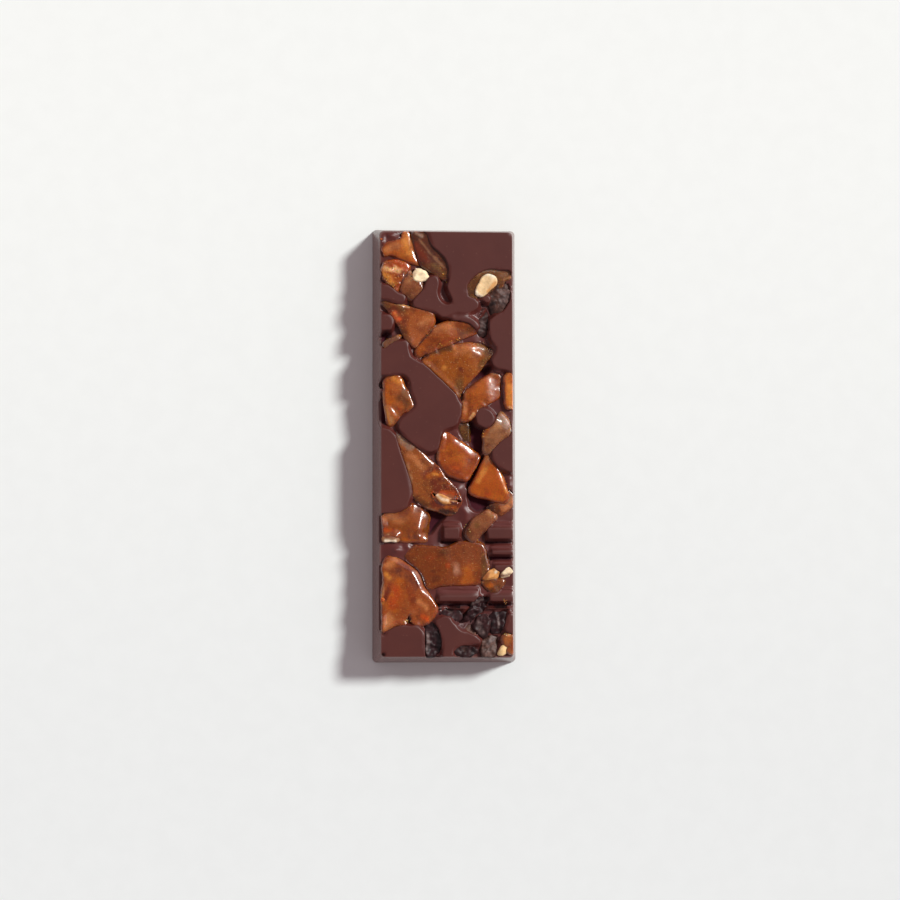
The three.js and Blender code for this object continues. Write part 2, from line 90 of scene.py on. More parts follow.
def smoothStep(start, end, value):
    share = np.clip((value - start) / (end - start), 0, 1)
    return share * share * (3 - 2 * share)


def hump(distance, reach):
    # 1 in the middle, dying away softly past the reach
    return np.exp(-0.5 * (distance / reach) ** 2)


def softNoise(points, size, seed):
    # rolling noise, mostly between -1 and 1, whose bumps are about one size apart
    axes, tableSize, gain = points.shape[1], 4096, 1.5
    turn = np.array([[0.80, 0.52, 0.30], [-0.59, 0.77, 0.24], [-0.11, -0.37, 0.92]])
    strides = np.array([127, 311, 733])[:axes]
    spot = points @ turn[:axes, :axes] / size
    heights = np.random.default_rng(seed).uniform(-1, 1, tableSize)
    whole = np.floor(spot).astype(int)
    share = spot - whole
    share = share * share * (3 - 2 * share)
    total = np.zeros(len(points))
    for corner in product((0, 1), repeat=axes):
        key = (whole + corner) @ strides % tableSize
        total += heights[key] * np.prod(np.where(corner, share, 1 - share), axis=1)
    return total * gain


def awayFrom(spots, path):
    # distance from each spot to a line drawn through a few points, or to a single point
    best = np.full(len(spots), farOff)
    for start, end in zip(path, path[1:] or path):
        start, run = np.array(start, float), np.subtract(end, start).astype(float)
        share = np.clip((spots - start) @ run / max(run @ run, 1e-9), 0, 1)
        best = np.minimum(best, np.hypot(*(spots - start - share[:, None] * run).T))
    return best


def sideOf(spots, path):
    # how far each spot lies to the left of a line through a few points, and how far past its ends
    path = np.array(path, float)
    steps = np.diff(path, axis=0)
    ways = np.column_stack([-steps[:, 1], steps[:, 0]]) / np.hypot(*steps.T)[:, None]
    turns = np.vstack([ways[:1], ways[:-1] + ways[1:], ways[-1:]])
    turns /= np.hypot(*turns.T)[:, None]
    best, side = np.full(len(spots), farOff), np.zeros(len(spots))
    for start, step, first, last in zip(path, steps, turns, turns[1:]):
        share = np.clip((spots - start) @ step / (step @ step), 0, 1)[:, None]
        apart = spots - start - share * step
        distance = np.hypot(*apart.T)
        nearer = distance < best
        best[nearer] = distance[nearer]
        side[nearer] = (apart * (first * (1 - share) + last * share)).sum(1)[nearer]
    return side, np.sqrt(np.maximum(best ** 2 - side ** 2, 0))


def newPiece(name, points, faces):
    mesh = bpy.data.meshes.new(name)
    mesh.from_pydata((np.asarray(points) * mm).tolist(), [], faces)
    mesh.shade_smooth()
    piece = bpy.data.objects.new(name, mesh)
    bpy.context.scene.collection.objects.link(piece)
    return piece


def vertexValues(mesh, name):
    values = np.empty(len(mesh.vertices) * 3, np.float32)
    mesh.vertices.foreach_get(name, values)
    return values.reshape(-1, 3).astype(float)


def meshPoints(mesh):
    return vertexValues(mesh, "co") / mm


def setPoints(mesh, points):
    mesh.vertices.foreach_set("co", (points * mm).astype(np.float32).ravel())
    mesh.update()


def paint(piece, name, values):
    layer = piece.data.attributes.new(name, "FLOAT", "POINT")
    layer.data.foreach_set("value", np.clip(values, 0, 1).astype(np.float32))


def paintColour(piece, name, values):
    layer = piece.data.attributes.new(name, "FLOAT_COLOR", "POINT")
    layer.data.foreach_set("color", np.clip(values, 0, 1).astype(np.float32).ravel())


def belongs(piece, slotName, *cadNodes):
    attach(piece, "root")
    if cadNodes:
        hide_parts(*cadNodes)


# material tools

def newMaterial(name):
    material = bpy.data.materials.new(name)
    material.use_nodes = True
    material.node_tree.nodes.clear()
    return material, material.node_tree


def addNode(tree, kind, sockets=None, **settings):
    node = tree.nodes.new("ShaderNode" + kind)
    for name, value in settings.items():
        setattr(node, name, value)
    for name, value in (sockets or {}).items():
        if isinstance(value, bpy.types.NodeSocket):
            tree.links.new(value, node.inputs[name])
        else:
            node.inputs[name].default_value = value
    return node


def shiftedSpot(tree, shift):
    sockets = {"Vector": addNode(tree, "TexCoord").outputs["Object"], "Location": (shift * mm, 0, 0)}
    return addNode(tree, "Mapping", sockets).outputs[0]


def grain(tree, size, detail=3, shift=0.0):
    # cloudy noise, with clouds about one size across
    settings = {"Vector": shiftedSpot(tree, shift), "Scale": 1 / (size * mm), "Detail": detail}
    return addNode(tree, "TexNoise", settings).outputs[0]


def remap(tree, value, start, end, first=0.0, last=1.0):
    settings = {"Value": value, "From Min": start, "From Max": end, "To Min": first, "To Max": last}
    return addNode(tree, "MapRange", settings, interpolation_type="SMOOTHSTEP").outputs[0]


def blend(tree, share, first, second, how="MIX"):
    sockets = {0: share, 6: first, 7: second}
    return addNode(tree, "Mix", sockets, data_type="RGBA", blend_type=how).outputs[2]


def painted(tree, name, output="Fac"):
    return addNode(tree, "Attribute", attribute_name=name).outputs[output]


def dots(tree, size, amount):
    # small round dots in some of the cells of a loose grid
    cells = addNode(tree, "TexVoronoi", {"Vector": shiftedSpot(tree, 0.0), "Scale": 1 / (size * mm)})
    chosen = addNode(tree, "SeparateColor", {0: cells.outputs["Color"]}).outputs[0]
    chosen = remap(tree, chosen, 0.98 - amount, 1.0 - amount)
    core = remap(tree, cells.outputs["Distance"], 0.12, 0.3, 1.0, 0.0)
    return addNode(tree, "Math", {0: chosen, 1: core}, operation="MULTIPLY").outputs[0]


def bumps(tree, height, depth, before=None):
    sockets = {"Height": height, "Distance": depth * mm, "Strength": 1.0}
    if before:
        sockets["Normal"] = before
    return addNode(tree, "Bump", sockets).outputs[0]


def finishMaterial(tree, sockets):
    addNode(tree, "OutputMaterial", {"Surface": addNode(tree, "BsdfPrincipled", sockets).outputs[0]})


# the camera and the light come first

camera = {
    "lean": (-0.084, -0.052, 1.0),  # from the bar to the camera
    "distance": 753,
    "aim": (1.73, -1.18, 0),
    "seen": 245.8,  # width of the picture at the floor
    "roll": 0.07,  # degrees
    "sensor": 36,
    "clip": (0.01, 50),  # metres
}


def makeCamera(look):
    data = bpy.data.cameras.new("camera")
    data.sensor_width = look["sensor"]
    data.lens = look["sensor"] * look["distance"] / look["seen"]
    holder = bpy.data.objects.new("camera", data)
    bpy.context.scene.collection.objects.link(holder)
    back = Vector(look["lean"]).normalized()
    holder.location = (Vector(look["aim"]) + back * look["distance"]) * mm
    roll = math.radians(look["roll"])
    up = Vector((math.sin(roll), math.cos(roll), 0))
    side = up.cross(back).normalized()
    upright = back.cross(side)
    turn = [[side[i], upright[i], back[i]] for i in range(3)]
    holder.rotation_mode = "QUATERNION"
    holder.rotation_quaternion = Matrix(turn).to_quaternion()
    data.clip_start, data.clip_end = look["clip"]
    bpy.context.scene.camera = holder


studio = {
    "keyStrength": 3.45,
    "keySpread": 11,  # degrees, for the soft edge of the shadow
    "keyColour": (1.0, 1.0, 0.985),
    "horizon": (0.56, 0.44, 0.475),  # the light that comes in from the sides
    "overhead": (0.15, 0.137, 0.142),  # and from straight above
    "nearFloor": "#e8efed",
    "farFloor": "#f3faf6",
    "paintedFloorFalloff": 115,  # painted light falloff: the floor is painted lighter over this distance on both sides of the bar
    "floorSize": 12000,
    "floorDrop": 0.02,  # keeps the paper clear of the bar's underside
}


def makeStudio(look):
    data = bpy.data.lights.new("key", "SUN")
    data.energy = look["keyStrength"]
    data.angle = math.radians(look["keySpread"])
    data.color = look["keyColour"]
    key = bpy.data.objects.new("key", data)
    bpy.context.scene.collection.objects.link(key)
    towards = Vector((*(towardsLight * math.cos(lightHeight)), math.sin(lightHeight)))
    key.location = towards
    key.rotation_euler = towards.to_track_quat("Z", "Y").to_euler()

    world = bpy.data.worlds.new("studio")
    bpy.context.scene.world = world
    world.use_nodes = True
    tree = world.node_tree
    tree.nodes.clear()
    parts = addNode(tree, "SeparateXYZ", {0: addNode(tree, "TexCoord").outputs["Generated"]})
    rise = addNode(tree, "Math", {0: parts.outputs["Z"], 1: 0.0}, operation="MAXIMUM").outputs[0]
    square = addNode(tree, "Math", {0: rise, 1: 2.0}, operation="POWER").outputs[0]
    sky = blend(tree, square, (*look["horizon"], 1), (*look["overhead"], 1))
    shade = addNode(tree, "Background", {"Color": sky, "Strength": 1.0})
    addNode(tree, "OutputWorld", {"Surface": shade.outputs[0]})

    half = look["floorSize"] / 2
    corners = [(-half, -half, 0), (half, -half, 0), (half, half, 0), (-half, half, 0)]
    floor = newPiece("floor", np.array(corners) - [0, 0, look["floorDrop"]], [(0, 1, 2, 3)])
    material, tree = newMaterial("paper")
    along = addNode(tree, "SeparateXYZ", {0: addNode(tree, "TexCoord").outputs["Object"]}).outputs["Y"]
    fade = look["paintedFloorFalloff"] * mm
    # painted light falloff along the floor
    far = remap(tree, along, -fade, fade)
    paper = blend(tree, far, colour(look["nearFloor"]), colour(look["farFloor"]))
    fibres = remap(tree, grain(tree, 6, 5), 0.3, 0.7, 0.985, 1.0)
    tint = blend(tree, 1.0, paper, fibres, "MULTIPLY")
    finishMaterial(tree, {"Base Color": tint, "Roughness": 0.9, "Specular IOR Level": 0.2})
    floor.data.materials.append(material)


makeCamera(camera)
makeStudio(studio)
view = bpy.context.scene.view_settings
view.view_transform = "Standard"
print("camera and studio ready")


# maps of the bar seen from above, as grids of heights

mapCell = 0.125
mapX = np.arange(-barWidth / 2, barWidth / 2 + mapCell / 2, mapCell)
mapY = np.arange(-barLength / 2, barLength / 2 + mapCell / 2, mapCell)
gridX, gridY = np.meshgrid(mapX, mapY)
mapPoints = np.column_stack([gridX.ravel(), gridY.ravel()])


def treeOfMeshes(meshes):
    points, faces = [], []
    for mesh in meshes:
        shift = len(points)
        points += [v.co.copy() for v in mesh.vertices]
        faces += [[i + shift for i in face.vertices] for face in mesh.polygons]
    return BVHTree.FromPolygons(points, faces)


def treeOf(names):
    return treeOfMeshes(nodes[name].data for name in names)


def castDown(tree):
    field = np.full(gridX.shape, np.nan)
    down = Vector((0, 0, -1))
    start = 2 * barHeight * mm
    for row, y in enumerate(mapY * mm):
        for column, x in enumerate(mapX * mm):
            hit = tree.ray_cast((x, y, start), down)[0]
            if hit:
                field[row, column] = hit.z / mm
    return field


def mapAway(path):
    return awayFrom(mapPoints, path).reshape(gridX.shape)


def blurred(field, reach):
    cells = reach / mapCell
    half = int(3 * cells) + 1
    weights = hump(np.arange(-half, half + 1), cells)
    weights /= weights.sum()
    for _ in range(2):
        padded = np.pad(field, ((half, half), (0, 0)), mode="edge")
        field = sum(w * padded[i:i + len(field)] for i, w in enumerate(weights)).T
    return field


def filledIn(field, known):
    # carries the known heights on into the places around them, from near to far
    leastWeight = 0.03
    result = np.where(known, field, np.nan)
    for reach in (0.3, 0.6, 1.2, 2.4):
        weight = blurred(known.astype(float), reach)
        guess = blurred(np.where(known, field, 0.0), reach) / np.maximum(weight, 1e-6)
        result = np.where(np.isnan(result) & (weight > leastWeight), guess, result)
    return np.where(np.isnan(result), bed["level"], result)


def narrowGapsFilled(field, reach):
    # raises what is narrower than twice the reach, as thick chocolate does when it creeps between things
    cells = int(reach / mapCell)
    around = product(range(2 * cells + 1), repeat=2)
    steps = [(i, j) for i, j in around if (i - cells) ** 2 + (j - cells) ** 2 <= cells * cells + 1]
    rows, columns = field.shape
    for choose in (np.maximum, np.minimum):
        padded = np.pad(field, cells, mode="edge")
        field = choose.reduce([padded[i:i + rows, j:j + columns] for i, j in steps])
    return field


def sampled(field, x, y, corner=None):
    # reads a map between its grid points
    corner = (mapX[0], mapY[0]) if corner is None else corner
    column = np.clip((x - corner[0]) / mapCell, 0, field.shape[1] - 1.001)
    row = np.clip((y - corner[1]) / mapCell, 0, field.shape[0] - 1.001)
    i, j = column.astype(int), row.astype(int)
    s, t = column - i, row - j
    near = field[j, i] * (1 - s) + field[j, i + 1] * s
    far = field[j + 1, i] * (1 - s) + field[j + 1, i + 1] * s
    return near * (1 - t) + far * t


# the moulded block, with walls that lean in and a rounded mould edge

block = {
    "lean": 1.65,  # inset where the wall meets the mould edge
    "edgeRound": 0.35,  # rounding of the mould edge
    "edgeInset": 2.05,  # inset where the flat top begins
    "corner": 1.2,  # radius of the upright corners
    "baseRound": 0.4,
    "rim": 0.32,  # how softly the top runs into the wall
    "cell": 0.25,  # steps of the mesh
}
# how steeply the walls climb
wallRise = (barHeight - block["edgeRound"] - block["baseRound"]) / block["lean"]
bed = {
    "level": 9.35,  # of the free surface
    "swell": 0.2,  # how far it rises and falls
    "under": 8.3,  # its level under the pieces
    "creep": 0.5,  # gaps narrower than twice this fill up to a little below the top
    "creepDrop": 0.45,
    "creepBeside": 0.75,  # the share of that drop that is left out beside a plateau
    "lapSlope": 1.6,  # how steeply a film of chocolate runs out
    "grooveWidth": 0.33,
    "grooveDepth": 1.05,
    "shade": 0.5,  # how dark the painted shade is
    "soften": 0.12,  # how far all steps are rounded
}
reliefs = [  # mounds and dips that the chocolate set with
    {"path": [(3.0, -12.2)], "reach": 1.1, "rise": 0.72},
    {"path": [(4.4, -17.7), (5.1, -18.9), (5.1, -20.4)], "reach": 0.8, "rise": 0.42},
    {"path": [(-14.4, -29.2), (-10.6, -28.1)], "reach": 0.9, "rise": 0.3},
    {"path": [(16.9, -9.6), (16.9, -11.4)], "reach": 0.6, "rise": 0.42},
    {"path": [(-16.9, -51.0)], "reach": 0.3, "rise": -0.8},
    {"path": [(-17.1, -56.6)], "reach": 0.26, "rise": -0.7},
    {"path": [(17.9, 17.2), (17.6, 9.2)], "reach": 0.3, "rise": -0.3},
]
shines = [  # leaning patches of the free surface that mirror the key light
    {"path": [(-17.3, 54.6), (-16.0, 56.0)], "reach": 0.42},
    {"path": [(-15.4, 56.3), (-12.6, 56.8)], "reach": 0.4},
    {"path": [(-13.8, -28.5), (-11.6, -27.9)], "reach": 0.5},
    {"path": [(-11.0, -27.6), (-9.4, -27.2)], "reach": 0.4},
]
lobes = [  # films of chocolate that lap over the ends of two shards
    {"path": [(0.2, 34.9), (3.4, 34.4), (6.2, 33.4), (8.4, 31.7)], "reach": 0.8, "level": 10.8},
    {"path": [(4.9, 43.6), (5.3, 40.8)], "reach": 0.7, "level": 10.9},
    {"path": [(9.6, 34.6), (10.2, 36.2)], "reach": 0.3, "level": 10.3},
]
grooves = [  # gaps cut below the ribs' faces, with painted shade in them
    {"y": -26.5, "from": -1.0, "to": 3.4},
    {"y": -26.5, "from": 10.9, "to": 18.3},
    {"y": -30.8, "from": 12.0, "to": 18.3},
    {"y": -43.3, "from": -2.0, "to": 7.0},
    {"y": -43.3, "from": 11.5, "to": 17.9},
]
paintedBedShade = [  # painted shade on the chocolate between the fruit and under the shards' ends
    {"path": [(3.4, -48.6), (7.0, -48.4), (12.0, -47.0)], "reach": 2.2},
    {"path": [(1.2, -44.6), (2.6, -46.4)], "reach": 1.0},
    {"path": [(8.6, 38.2), (10.4, 37.6)], "reach": 1.0},
    {"path": [(-5.6, -18.4), (-3.2, -19.6)], "reach": 1.6},
]
wallHollows = [  # where the wall stops short beside two shards
    {"from": -27.2, "to": -18.9, "floor": 8.0},
    {"from": -50.6, "to": -32.2, "floor": 8.2},
]


def insetAt(x, y):
    # how far inside the base outline a point lies, with round corners at every level
    a, b = barWidth / 2 - np.abs(x), barLength / 2 - np.abs(y)
    skew = np.clip(a - b, -block["corner"], block["corner"])
    atCorner = b - block["corner"] + (skew + np.sqrt(2 * block["corner"] ** 2 - skew ** 2)) / 2
    return np.where(np.abs(a - b) < block["corner"], atCorner, np.minimum(a, b))


def softMin(a, b, reach):
    share = np.clip(0.5 + 0.5 * (b - a) / reach, 0, 1)
    return b * (1 - share) + a * share - reach * share * (1 - share)


def topField():
    solid = castDown(treeOf(["chocolate"]))
    pieceTops = castDown(treeOf([name for name in nodes if name != "chocolate"]))
    cover = blurred((~np.isnan(pieceTops)).astype(float), 0.22)
    inside = np.abs(gridX) < barWidth / 2 - block["edgeInset"] - 0.05
    inside &= np.abs(gridY) < barLength / 2 - block["edgeInset"] - 0.05
    shape = filledIn(solid, inside & (cover < 0.02) & ~np.isnan(solid))

    # the chocolate creeps into narrow gaps and laps over two shards
    beside = smoothStep(0.1, 0.45, blurred((shape > barHeight - 0.15).astype(float), 0.5))
    drop = bed["creepDrop"] * (1 - bed["creepBeside"] * beside)
    filled = narrowGapsFilled(np.fmax(shape, pieceTops), bed["creep"]) - drop
    shape = np.where(shape > bed["level"] - 0.5, np.maximum(shape, filled), shape)
    for lobe in lobes:
        past = np.maximum(mapAway(lobe["path"]) - lobe["reach"], 0)
        shape = np.maximum(shape, lobe["level"] - bed["lapSlope"] * past)
    shape = blurred(shape, bed["soften"])
    moulded = smoothStep(barHeight - 0.75, barHeight - 0.45, shape)
    ribbed = smoothStep(9.9, 10.1, shape) * (1 - moulded)

    # the free surface rises, falls and shines
    swell = softNoise(mapPoints, 3.6, 3) + 0.25 * softNoise(mapPoints, 1.7, 4)
    shape = shape + (1 - moulded) * (1 - ribbed) * bed["swell"] * swell.reshape(shape.shape)
    for relief in reliefs:
        shape = shape + relief["rise"] * hump(mapAway(relief["path"]), relief["reach"])
    for shine in shines:
        along = ((mapPoints - np.mean(shine["path"], 0)) @ towardsLight).reshape(shape.shape)
        near = hump(mapAway(shine["path"]), shine["reach"])
        shape = shape - (1 - moulded) * shineSlope * along * near
    shape = np.minimum(shape, barHeight)

    # what lies deep, and gets painted shade
    sunk = smoothStep(9.5, 8.3, shape)
    # the grooves are cut in and painted with shade
    for groove in grooves:
        line = [(groove["from"], groove["y"]), (groove["to"], groove["y"])]
        cut = hump(mapAway(line), bed["grooveWidth"])
        shape = shape - bed["grooveDepth"] * cut
        sunk = np.maximum(sunk, smoothStep(0.35, 0.8, cut))
    # painted shade on the listed places of the free surface
    for place in paintedBedShade:
        near = 1 - smoothStep(0.5, 1, mapAway(place["path"]) / place["reach"])
        sunk = np.maximum(sunk, bed["shade"] * (1 - moulded) * near)
    for hollow in wallHollows:
        along = smoothStep(hollow["from"], hollow["from"] + 0.5, gridY)
        along *= 1 - smoothStep(hollow["to"] - 0.5, hollow["to"], gridY)
        across = 1 - smoothStep(-17.4, -17.0, gridX)
        shape += along * across * (hollow["floor"] - shape)

    # under the pieces it drops out of sight, but not where a film laps over them
    lapped = np.minimum.reduce([mapAway(lobe["path"]) - lobe["reach"] for lobe in lobes])
    covered = smoothStep(0.55, 0.9, cover) * smoothStep(-0.1, 0.2, lapped)
    shape += covered * (np.minimum(shape, bed["under"]) - shape)
    return shape, moulded, sunk


def gridLine(half):
    # even steps across the top, and finer ones where the mould edge rounds over
    near = half - 2.6
    insets = [0, 0.04, 0.3, 0.6, 0.9, 1.15, 1.3, 1.42, 1.52, 1.61, 1.7, 1.79, 1.88, 1.97, 2.07, 2.2, 2.38]
    outer = half - np.array(insets)
    middle = np.linspace(-near, near, round(2 * near / block["cell"]) + 1)
    return np.concatenate([-outer, middle, outer[::-1]])


def roundCorners(x, y):
    # moves the corner squares of the grid on to quarter discs
    r = block["corner"]
    a = np.clip((np.abs(x) - barWidth / 2 + r) / r, 0, 1)
    b = np.clip((np.abs(y) - barLength / 2 + r) / r, 0, 1)
    both = (a > 0) & (b > 0)
    newX = barWidth / 2 - r + r * a * np.sqrt(1 - b * b / 2)
    newY = barLength / 2 - r + r * b * np.sqrt(1 - a * a / 2)
    return np.where(both, np.sign(x) * newX, x), np.where(both, np.sign(y) * newY, y)


def evenWalls(piece, rows, columns):
    # the steep faces beside the hollows all look the way their neighbours do
    normals = vertexValues(piece.data, "normal")
    facing = normals[:rows * columns].reshape(rows, columns, 3).copy()
    steep = smoothStep(0.97, 0.85, facing[..., 2])
    turned = [blurred(steep * facing[..., i], 0.45) for i in range(2)]
    share = steep / np.maximum(np.hypot(*turned), 1e-6)
    flat = np.hypot(facing[..., 0], facing[..., 1])
    for i in range(2):
        facing[..., i] += steep * (share * flat * turned[i] - facing[..., i])
    normals[:rows * columns] = facing.reshape(-1, 3)
    piece.data.normals_split_custom_set_from_vertices(normals / np.linalg.norm(normals, axis=1)[:, None])


evening = {
    "rounds": 8,
    "strength": 0.6,
    "likeness": 0.45,  # points further apart in height than this hardly pull at each other
}


def evened(spots, inset, cell):
    # draws the steps along the steep faces out into even lines, and keeps the heights of low ones
    slope = np.hypot(*np.gradient(spots[..., 2])) / cell
    share = smoothStep(0.1, 0.4, blurred(smoothStep(0.9, 1.6, slope), 0.12)) * smoothStep(1.95, 2.3, inset)
    tall = share * smoothStep(0.1, 0.4, blurred(smoothStep(2.2, 3.6, slope), 0.15))
    amount = evening["strength"] * np.dstack([share, share, tall])
    for _ in range(evening["rounds"]):
        pull, weights = np.zeros_like(spots), np.zeros_like(slope)
        for step in product((-1, 0, 1), repeat=2):
            other = np.roll(spots, step, (0, 1))
            like = np.exp(-((other[..., 2] - spots[..., 2]) / evening["likeness"]) ** 2)
            pull += like[..., None] * other
            weights += like
        spots += amount * (pull / weights[..., None] - spots)
    return spots


def chocolateMesh(shape, moulded, sunk):
    lineX, lineY = gridLine(barWidth / 2), gridLine(barLength / 2)
    columns, rows = len(lineX), len(lineY)
    x, y = roundCorners(*np.meshgrid(lineX, lineY))
    inset = insetAt(x, y)
    wall = block["baseRound"] + wallRise * np.maximum(inset, 0)
    z = softMin(sampled(shape, x, y), wall, block["rim"])
    spots = evened(np.dstack([x, y, z]), inset, np.gradient(lineX).max())
    x, y = spots[..., 0], spots[..., 1]
    points = [spots.reshape(-1, 3)]
    count = rows * columns
    index = np.arange(count).reshape(rows, columns)
    corners = [index[:-1, :-1], index[:-1, 1:], index[1:, 1:], index[1:, :-1]]
    faces = np.column_stack([corner.ravel() for corner in corners]).tolist()

    # two more rings round the base, and long strips across the flat underside
    ring = np.concatenate([index[0, :-1], index[:-1, -1], index[-1, :0:-1], index[:0:-1, 0]])
    edge = points[0][ring]
    for drawIn, level in ((0.1, 0.12), (block["baseRound"], 0.0)):
        scale = 1 - 2 * drawIn / np.array([barWidth, barLength])
        points.append(np.column_stack([edge[:, :2] * scale, np.full(len(edge), level)]))
        lower = np.arange(count, count + len(edge))
        faces += np.column_stack([ring, lower, np.roll(lower, -1), np.roll(ring, -1)]).tolist()
        ring = lower
        count += len(edge)
    side, length = columns - 1, len(ring)
    for row in range(1, rows - 2):
        left, right = length - row, side + row
        faces.append([ring[left % length], ring[left - 1], ring[right + 1], ring[right]])
    faces.append([ring[length - 1], ring[side + 1], *ring[side::-1]])
    far, back = side + rows - 2, length - rows + 1
    faces.append([ring[far], ring[back + 1], *ring[back:far:-1]])
    piece = newPiece("chocolateBar", np.vstack(points), faces)
    evenWalls(piece, rows, columns)

    # painted shade: the deep places are painted dark, and where it is darkest the faces take the shade
    # material
    onTop = smoothStep(1.8, 2.2, inset)
    dark = sampled(sunk, x, y) * onTop
    inPaintedShade = np.logical_and.reduce([(dark > 0.55).ravel()[corner] for corner in corners])
    for face in np.flatnonzero(inPaintedShade):
        piece.data.polygons[face].material_index = 1
    # mask of the walls, for their painted reflection and their smoother finish
    wall = smoothStep(2.0, 1.6, inset)
    smooth = np.maximum(sampled(moulded, x, y), wall)
    for name, values, below in (("moulded", smooth, 1.0), ("wall", wall, 1.0), ("hollow", dark, 0.0)):
        shares = np.full(count, below)
        shares[:rows * columns] = values.ravel()
        paint(piece, name, shares)
    return piece


chocolate = {
    "free": "#5c2a26",  # where it set in the air
    "moulded": "#4c1a12",  # where it touched the mould
    "cloud": "#562319",
    # painted reflection: the walls are painted lighter and greyer, standing in for the shaded floor they
    # mirror at a grazing view
    "wall": "#735550",
    "speck": "#6b4034",
    # painted shade in the deep places
    "hollow": "#351319",
    "deep": ("#3c151f", "#491c24"),  # between the pieces, where next to no light reaches
    "freeRoughness": 0.35,
    "mouldedRoughness": 0.48,
    "hollowRoughness": 0.4,  # more than that of the surface around
    "wallRoughness": -0.24,
}


def chocolateMaterial(look):
    material, tree = newMaterial("dark chocolate")
    moulded, hollow = painted(tree, "moulded"), painted(tree, "hollow")
    base = blend(tree, moulded, colour(look["free"]), colour(look["moulded"]))
    cloudy = remap(tree, grain(tree, 9, 4), 0.3, 0.7, 0.0, 0.5)
    base = blend(tree, cloudy, base, colour(look["cloud"]))
    # painted reflection on the walls
    base = blend(tree, painted(tree, "wall"), base, colour(look["wall"]))
    specks = dots(tree, 0.9, 0.1)
    base = blend(tree, remap(tree, specks, 0, 1, 0, 0.35), base, colour(look["speck"]))
    # painted shade in the hollows
    base = blend(tree, hollow, base, colour(look["hollow"]))
    rough = remap(tree, moulded, 0, 1, look["freeRoughness"], look["mouldedRoughness"])
    for share, more in ((hollow, look["hollowRoughness"]), (painted(tree, "wall"), look["wallRoughness"])):
        rough = addNode(tree, "Math", {0: share, 1: more, 2: rough}, operation="MULTIPLY_ADD").outputs[0]
    fine = bumps(tree, grain(tree, 0.35, 3), 0.008)
    broad = bumps(tree, grain(tree, 2.5, 2, 5), 0.02, fine)
    finishMaterial(tree, {
        "Base Color": base, "Roughness": rough, "Normal": broad, "IOR": 1.5, "Specular IOR Level": 0.5,
    })
    return material


# painted shade: a near-black chocolate for the darkest places
def shadedHollowMaterial(look):
    material, tree = newMaterial("chocolate in the hollows")
    cloudy = remap(tree, grain(tree, 1.5, 3), 0.3, 0.7)
    base = blend(tree, cloudy, *(colour(code) for code in look["deep"]))
    fine = bumps(tree, grain(tree, 0.6, 3), 0.02)
    finishMaterial(tree, {"Base Color": base, "Roughness": 0.7, "Normal": fine, "Specular IOR Level": 0.08})
    return material


shape, moulded, sunk = topField()
bar = chocolateMesh(shape, moulded, sunk)
bar.data.materials.append(chocolateMaterial(chocolate))
bar.data.materials.append(shadedHollowMaterial(chocolate))
belongs(bar, "chocolate", "chocolate")
print("chocolate made,", len(bar.data.polygons), "faces")


# toffee shards

toffee = {
    "voxel": 0.17,  # steps of the fine skin
    "smoothing": 2,  # rounds of it
    "growth": 0.3,  # closes the gap that the solids keep
    "melt": 1.0,  # how round the edges are that face the light
    "soften": 0.2,  # how far the form is smoothed
    "sunk": 0.0,  # how far the upper face lies below the mould
    "open": 0.0,  # 1 lets the edges along a plateau melt too
    "wave": 0.06,
    "facet": 0.09,  # slope of the broken faces
    "roughEdge": 0.07,
    "crumble": 0.012,  # unevenness all over
    "speckle": 0.3,  # pale flecks
    "wrinkles": 0.0,
    "sharp": 0.8,  # how far the blunt corners of the solids are drawn out again
    "rimShade": 0.45,  # painted shade along the outline, lighter on edges that face the light
    "stainStrength": 0.85,  # how far a stain covers the tone below it
    "warmth": 1,  # 0 leaves the tones as they are written
}
# painted light among these: the hazy tone is a painted highlight; the pink, cream, tan and taupe tones are
# partly tone and partly painted highlights and glints; the ember tone is a red-orange tone and a painted glow
# of light shining through; the pitch tone is partly dark tone and partly painted shadow
tints = {  # tones seen within the shards, as they look in the light, some of them painted light
    "gold": "#c5853e", "honey": "#b5764a", "orange": "#a85a22", "ember": "#a8481c", "flame": "#c4561c",
    "rust": "#8a3f1a", "ruby": "#6c2a1a", "umber": "#63361f", "pitchAndShade": "#2e1710", "olive": "#6e4a2c",
    "taupeAndSheen": "#85604a", "paintedSheen": "#988072", "tanAndSheen": "#a67853", "pinkAndSheen": "#b0806a", "plum": "#743c31",
    "creamAndGlint": "#e2b681", "film": "#5c352a",
}
